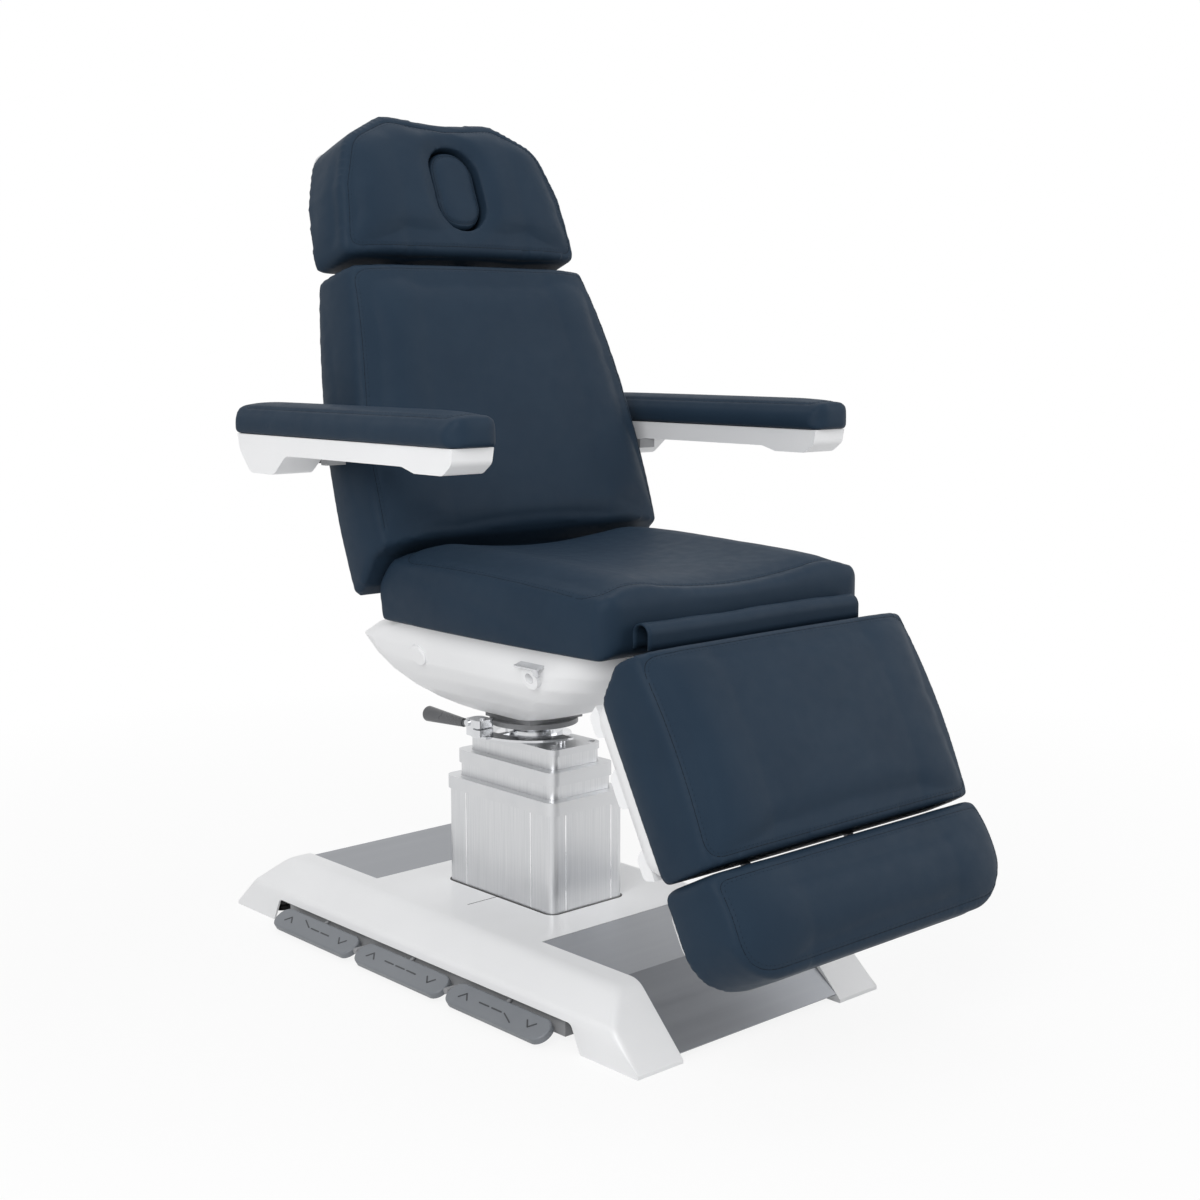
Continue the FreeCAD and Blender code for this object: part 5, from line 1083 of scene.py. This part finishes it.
@dataclass
class Mechanism:
    """Finishes of the base, column, swivel, hull, shells and frames, with the small pieces on them."""

    rail_fall: float = 0.075
    rail_round: float = 0.010
    rail_foot: float = 0.012
    tube_corner: float = 0.016
    # The dark ring round the column's foot is painted shade for the clearance gap in the cover.
    gap_shade_width: float = 0.0035
    strip_proud: float = 0.0005
    gap_shade_steps: int = 5
    seam_length: float = 0.070
    seam_width: float = 0.0009
    line_share: float = 0.62
    line_width: float = 0.0022
    line_proud: float = 0.0005
    line_gap: float = 0.002
    head_top: float = 0.392
    screw_x: float = 0.045
    screw_y: float = 0.106
    screw_radius: float = 0.005
    screw_length: float = 0.005
    screw_sunk: float = 0.001
    socket_rim: float = 0.0022
    socket_depth: float = 0.003

    def build(self, finishes: Finishes) -> None:
        """Dress the CAD nodes and add the shells and small pieces.

        Args:
            finishes: the chair's finishes.
        """
        self.skin("seat_hull", "seat", solid_copy("seat_hull"), finishes)
        self.skin("base_cover", "base", self.rounded_cover(), finishes)
        self.column_gap_shade_and_seams(finishes)
        dress(finishes.white, "base_cover", "seat_hull", "hull_caps", "side_sockets", "back_shell", "head_shell",
              "arm_support_left", "arm_support_right", "leg_shell", "foot_shell")
        dress(finishes.plate, "front_plate", "rear_plate")
        dress(finishes.column, "column_outer", "column_middle", "column_inner")
        dress(finishes.collar, "outer_collar", "middle_collar", "column_head")
        dress(finishes.steel, "base_frame", "pedal_bar", "seat_frame", "back_frame", "head_frame", "leg_frame",
              "foot_rails", "head_bars", "swivel_plate", "arm_bracket_left", "arm_bracket_right")
        dress(finishes.hub, "lift_base_rod", "lift_sleeve", "back_drive_rod", "leg_drive_rod")
        dress(finishes.chrome, "swivel_hub", "lock_bracket", "lock_clamp", "socket_clips", "back_hinge_pins",
              "leg_hinge_tube")
        dress(finishes.handle, "lock_handle")
        dress(finishes.rubber, "levelling_feet")
        dress(finishes.black, "control_box", "back_drive", "leg_drive", "lift_motor")
        dress(finishes.glide, "middle_glides", "inner_glides")
        dress(finishes.board, "seat_board")
        self.column_lines(finishes)
        self.screws(finishes)

    @staticmethod
    def skin(node: str, body: str, shape: bmesh.types.BMesh, finishes: Finishes) -> None:
        """Put a moulded shell in its CAD node's place, shaded smooth across its shallow edges only.

        Args:
            node: the CAD node that the shell stands for.
            body: the body that it rides on.
            shape: the shell, which is used up.
            finishes: the chair's finishes.
        """
        for edge in shape.edges:
            edge.smooth = len(edge.link_faces) == 2 and edge.calc_face_angle(0.0) < SHARP
        made = new_piece(node + "_skin", shape, finishes.white)
        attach(made, body)
        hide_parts(node)

    def rounded_cover(self) -> bmesh.types.BMesh:
        """Return the base cover with the outer crease of each rail end rounded."""
        shape = solid_copy("base_cover")
        bmesh.ops.dissolve_limit(shape, angle_limit=math.radians(0.5), verts=shape.verts, edges=shape.edges)
        inside = max(v.co.x for v in shape.verts) - self.rail_fall
        crease = [edge for edge in shape.edges if self.on_crease(edge, inside)]
        bmesh.ops.bevel(shape, geom=crease, offset=self.rail_round, offset_type="OFFSET", segments=4, profile=0.5,
                        affect="EDGES", clamp_overlap=False, material=-1)
        return shape

    def on_crease(self, edge: bmesh.types.BMEdge, inside: float) -> bool:
        """Return whether an edge lies where a rail's sloping end meets its outer side.

        Args:
            edge: an edge of the base cover.
            inside: how far from the chair's middle the crease begins.

        Returns:
            Whether it is to be rounded.
        """
        if len(edge.link_faces) != 2 or not edge.is_convex or edge.calc_face_angle(0.0) <= math.radians(8.0):
            return False
        ends = [v.co for v in edge.verts]
        outer = max(p.z for p in ends) > self.rail_foot and min(abs(p.x) for p in ends) > inside
        lengthwise = abs(ends[0].y - ends[1].y) > 0.3 * edge.calc_length()
        return outer and lengthwise and any(abs(f.normal.y) > 0.12 and f.normal.z > 0.2 for f in edge.link_faces)

    def column_gap_shade_and_seams(self, finishes: Finishes) -> None:
        """Lay a dark ring of painted shade in the gap round the column's foot, with the cover's seam on either side of
        it.

        Args:
            finishes: the chair's finishes.
        """
        half_x, half_y = self.tube_half()
        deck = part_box("base_cover")[1][2]
        shape = bmesh.new()
        outline = Matrix.Diagonal((half_x + self.gap_shade_width, half_y + self.gap_shade_width, 1.0, 1.0))
        low = Matrix.Translation((0.0, COLUMN_Y, deck - self.strip_proud))
        bmesh.ops.create_grid(shape, x_segments=1, y_segments=1, size=1.0, matrix=low @ outline)
        bmesh.ops.bevel(shape, geom=shape.verts[:], offset=self.tube_corner + self.gap_shade_width, offset_type="OFFSET",
                        segments=self.gap_shade_steps, profile=0.5, affect="VERTICES", material=-1)
        middle = shape.faces[:]
        ring = bmesh.ops.inset_region(shape, faces=middle, thickness=self.gap_shade_width, use_even_offset=True,
                                       use_boundary=True)["faces"]
        bmesh.ops.delete(shape, geom=middle, context="FACES")
        raised = bmesh.ops.extrude_face_region(shape, geom=ring, use_keep_orig=True)["geom"]
        bmesh.ops.translate(shape, verts=[g for g in raised if isinstance(g, bmesh.types.BMVert)],
                            vec=(0.0, 0.0, 2.0 * self.strip_proud))
        for side in (-1.0, 1.0):
            place = Matrix.Translation((side * (half_x + 0.5 * self.seam_length), COLUMN_Y, deck))
            size = Matrix.Diagonal((self.seam_length, self.seam_width, 2.0 * self.strip_proud, 1.0))
            bmesh.ops.create_cube(shape, size=1.0, matrix=place @ size)
        bmesh.ops.recalc_face_normals(shape, faces=shape.faces)
        # The ring takes the black rubber finish as painted shade; the two thin strips are the cover's seam.
        made = new_piece("column_gap_shade_and_seams", shape, finishes.rubber, smooth=False)
        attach(made, "base")

    @staticmethod
    def tube_half() -> Plan:
        """Return the outer tube's half widths."""
        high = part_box("column_outer")[1]
        return high[0], high[1] - COLUMN_Y

    def column_lines(self, finishes: Finishes) -> None:
        """Run the bright joint lines of the extrusion up the outer tube.

        Args:
            finishes: the chair's finishes.
        """
        low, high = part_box("column_outer")[0][2] + self.line_gap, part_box("outer_collar")[0][2] - self.line_gap
        half_x, half_y = self.tube_half()
        shape = bmesh.new()
        for side in (-1.0, 1.0):
            for share in (-self.line_share, self.line_share):
                for at, size in (((side * half_x, share * half_y), (2.0 * self.line_proud, self.line_width)),
                                 ((share * half_x, side * half_y), (self.line_width, 2.0 * self.line_proud))):
                    middle = Vector((at[0], COLUMN_Y + at[1], 0.5 * (low + high)))
                    box = Matrix.Diagonal((*size, high - low, 1.0))
                    bmesh.ops.create_cube(shape, size=1.0, matrix=Matrix.Translation(middle) @ box)
        made = new_piece("column_lines", shape, finishes.joint, smooth=False)
        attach(made, "base")

    def screws(self, finishes: Finishes) -> None:
        """Set socket-head screws into the column's head plate.

        Args:
            finishes: the chair's finishes.
        """
        shape = bmesh.new()
        height = self.head_top - self.screw_sunk - 0.5 * self.screw_length
        for x in (-self.screw_x, self.screw_x):
            for y in (-self.screw_y, self.screw_y):
                place = Matrix.Translation((x, COLUMN_Y + y, height))
                head = bmesh.ops.create_cone(shape, cap_ends=True, segments=24, radius1=self.screw_radius,
                                             radius2=self.screw_radius, depth=self.screw_length, matrix=place)
                top = max({f for v in head["verts"] for f in v.link_faces}, key=lambda f: f.calc_center_median().z)
                bmesh.ops.inset_region(shape, faces=[top], thickness=self.socket_rim)
                bmesh.ops.translate(shape, verts=list(top.verts), vec=(0.0, 0.0, -self.socket_depth))
        made = new_piece("column_screws", shape, finishes.chrome, smooth=False)
        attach(made, "lift_inner")


@dataclass
class Studio:
    """Pale floor, soft lamps and the camera at the photograph's angle."""

    camera_at: Tuple[float, float, float] = (-2.025, COLUMN_Y - 2.402, 1.103)
    azimuth: float = -42.31
    elevation: float = 8.41
    lens: float = 53.226
    floor_half: float = 30.0
    fade: Plan = (0.9, 2.6)
    near_white: float = 0.87
    ambient: float = 0.42

    def build(self) -> None:
        """Set up the view, the floor and the light."""
        self.view()
        self.floor()
        self.world()
        self.lamp("key", (-3.2, -2.1, 2.8), (0.0, 0.0, 0.7), 2.6, 112.0)
        self.lamp("fill", (2.6, -2.6, 2.2), (0.0, 0.0, 0.7), 2.8, 40.0)
        self.lamp("top", (0.3, 0.6, 3.8), (0.0, 0.0, 0.6), 3.0, 30.0)

    def view(self) -> None:
        """Place the camera."""
        data = bpy.data.cameras.new("photo_camera")
        data.lens = self.lens
        data.sensor_width = 36.0
        camera = bpy.data.objects.new("photo_camera", data)
        camera.location = self.camera_at
        camera.rotation_euler = (math.radians(90.0 - self.elevation), 0.0, math.radians(self.azimuth))
        bpy.context.scene.collection.objects.link(camera)
        bpy.context.scene.camera = camera

    def floor(self) -> None:
        """Lay a wide pale floor that fades to white for the camera and keeps the chair's shadow."""
        shape = bmesh.new()
        bmesh.ops.create_grid(shape, x_segments=1, y_segments=1, size=self.floor_half)
        shader = Shader("pale_floor")
        shader.set(Base_Color=(0.86, 0.86, 0.86, 1.0), Roughness=0.7, Specular_IOR_Level=0.1)
        glow = shader.node("ShaderNodeEmission", Color=(1.0, 1.0, 1.0, 1.0), Strength=1.0)
        path = shader.node("ShaderNodeLightPath")
        either = shader.node("ShaderNodeMath")
        either.operation = "MAXIMUM"
        shader.link(path.outputs["Is Camera Ray"], either.inputs[0])
        shader.link(path.outputs["Is Glossy Ray"], either.inputs[1])
        share = shader.node("ShaderNodeMath")
        share.operation = "MULTIPLY"
        reach = shader.node("ShaderNodeVectorMath")
        reach.operation = "LENGTH"
        shader.link(shader.place(), reach.inputs[0])
        fade = shader.node("ShaderNodeMapRange", From_Min=self.fade[0], From_Max=self.fade[1],
                           To_Min=self.near_white, To_Max=1.0)
        shader.link(reach.outputs["Value"], fade.inputs["Value"])
        shader.link(fade.outputs["Result"], share.inputs[1])
        shader.link(either.outputs["Value"], share.inputs[0])
        mix = shader.node("ShaderNodeMixShader")
        shader.link(share.outputs["Value"], mix.inputs["Fac"])
        shader.link(shader.surface.outputs["BSDF"], mix.inputs[1])
        shader.link(glow.outputs["Emission"], mix.inputs[2])
        shader.link(mix.outputs["Shader"], shader.tree.nodes["Material Output"].inputs["Surface"])
        new_piece("floor", shape, shader.material)

    def world(self) -> None:
        """Surround the chair with soft light that looks white behind it."""
        world = bpy.data.worlds.new("studio")
        world.use_nodes = True
        tree = world.node_tree
        ground = tree.nodes["Background"]
        ground.inputs["Color"].default_value = (1.0, 1.0, 1.0, 1.0)
        path = tree.nodes.new("ShaderNodeLightPath")
        either = tree.nodes.new("ShaderNodeMath")
        either.operation = "MAXIMUM"
        glossy = tree.nodes.new("ShaderNodeMath")
        glossy.operation = "MAXIMUM"
        tree.links.new(path.outputs["Is Glossy Ray"], glossy.inputs[0])
        tree.links.new(path.outputs["Is Transmission Ray"], glossy.inputs[1])
        tree.links.new(path.outputs["Is Camera Ray"], either.inputs[0])
        tree.links.new(glossy.outputs["Value"], either.inputs[1])
        span = tree.nodes.new("ShaderNodeMapRange")
        span.inputs["To Min"].default_value = self.ambient
        span.inputs["To Max"].default_value = 1.0
        tree.links.new(either.outputs["Value"], span.inputs["Value"])
        tree.links.new(span.outputs["Result"], ground.inputs["Strength"])
        bpy.context.scene.world = world
        bpy.context.scene.view_settings.view_transform = "Standard"

    def lamp(self, name: str, at: Tuple[float, float, float], aim: Tuple[float, float, float], size: float,
             power: float) -> None:
        """Hang one soft square lamp.

        Args:
            name: the lamp's name.
            at: where it hangs.
            aim: what it points at.
            size: its side in metres.
            power: its power in watts.
        """
        data = bpy.data.lights.new(name, "AREA")
        data.size = size
        data.energy = power
        lamp = bpy.data.objects.new(name, data)
        lamp.location = at
        lamp.rotation_euler = (Vector(aim) - Vector(at)).to_track_quat("-Z", "Y").to_euler()
        bpy.context.scene.collection.objects.link(lamp)


def main() -> None:
    """Build the studio, the mechanism's finishes and the soft pieces in order."""
    logging.basicConfig(level=logging.INFO)
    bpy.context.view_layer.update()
    finishes = Finishes()
    Studio().build()
    Mechanism().build(finishes)
    Pedals().build(finishes)
    Upholstery().build(finishes)
    GapFlap().build(finishes)


if __name__ == "__main__":
    main()
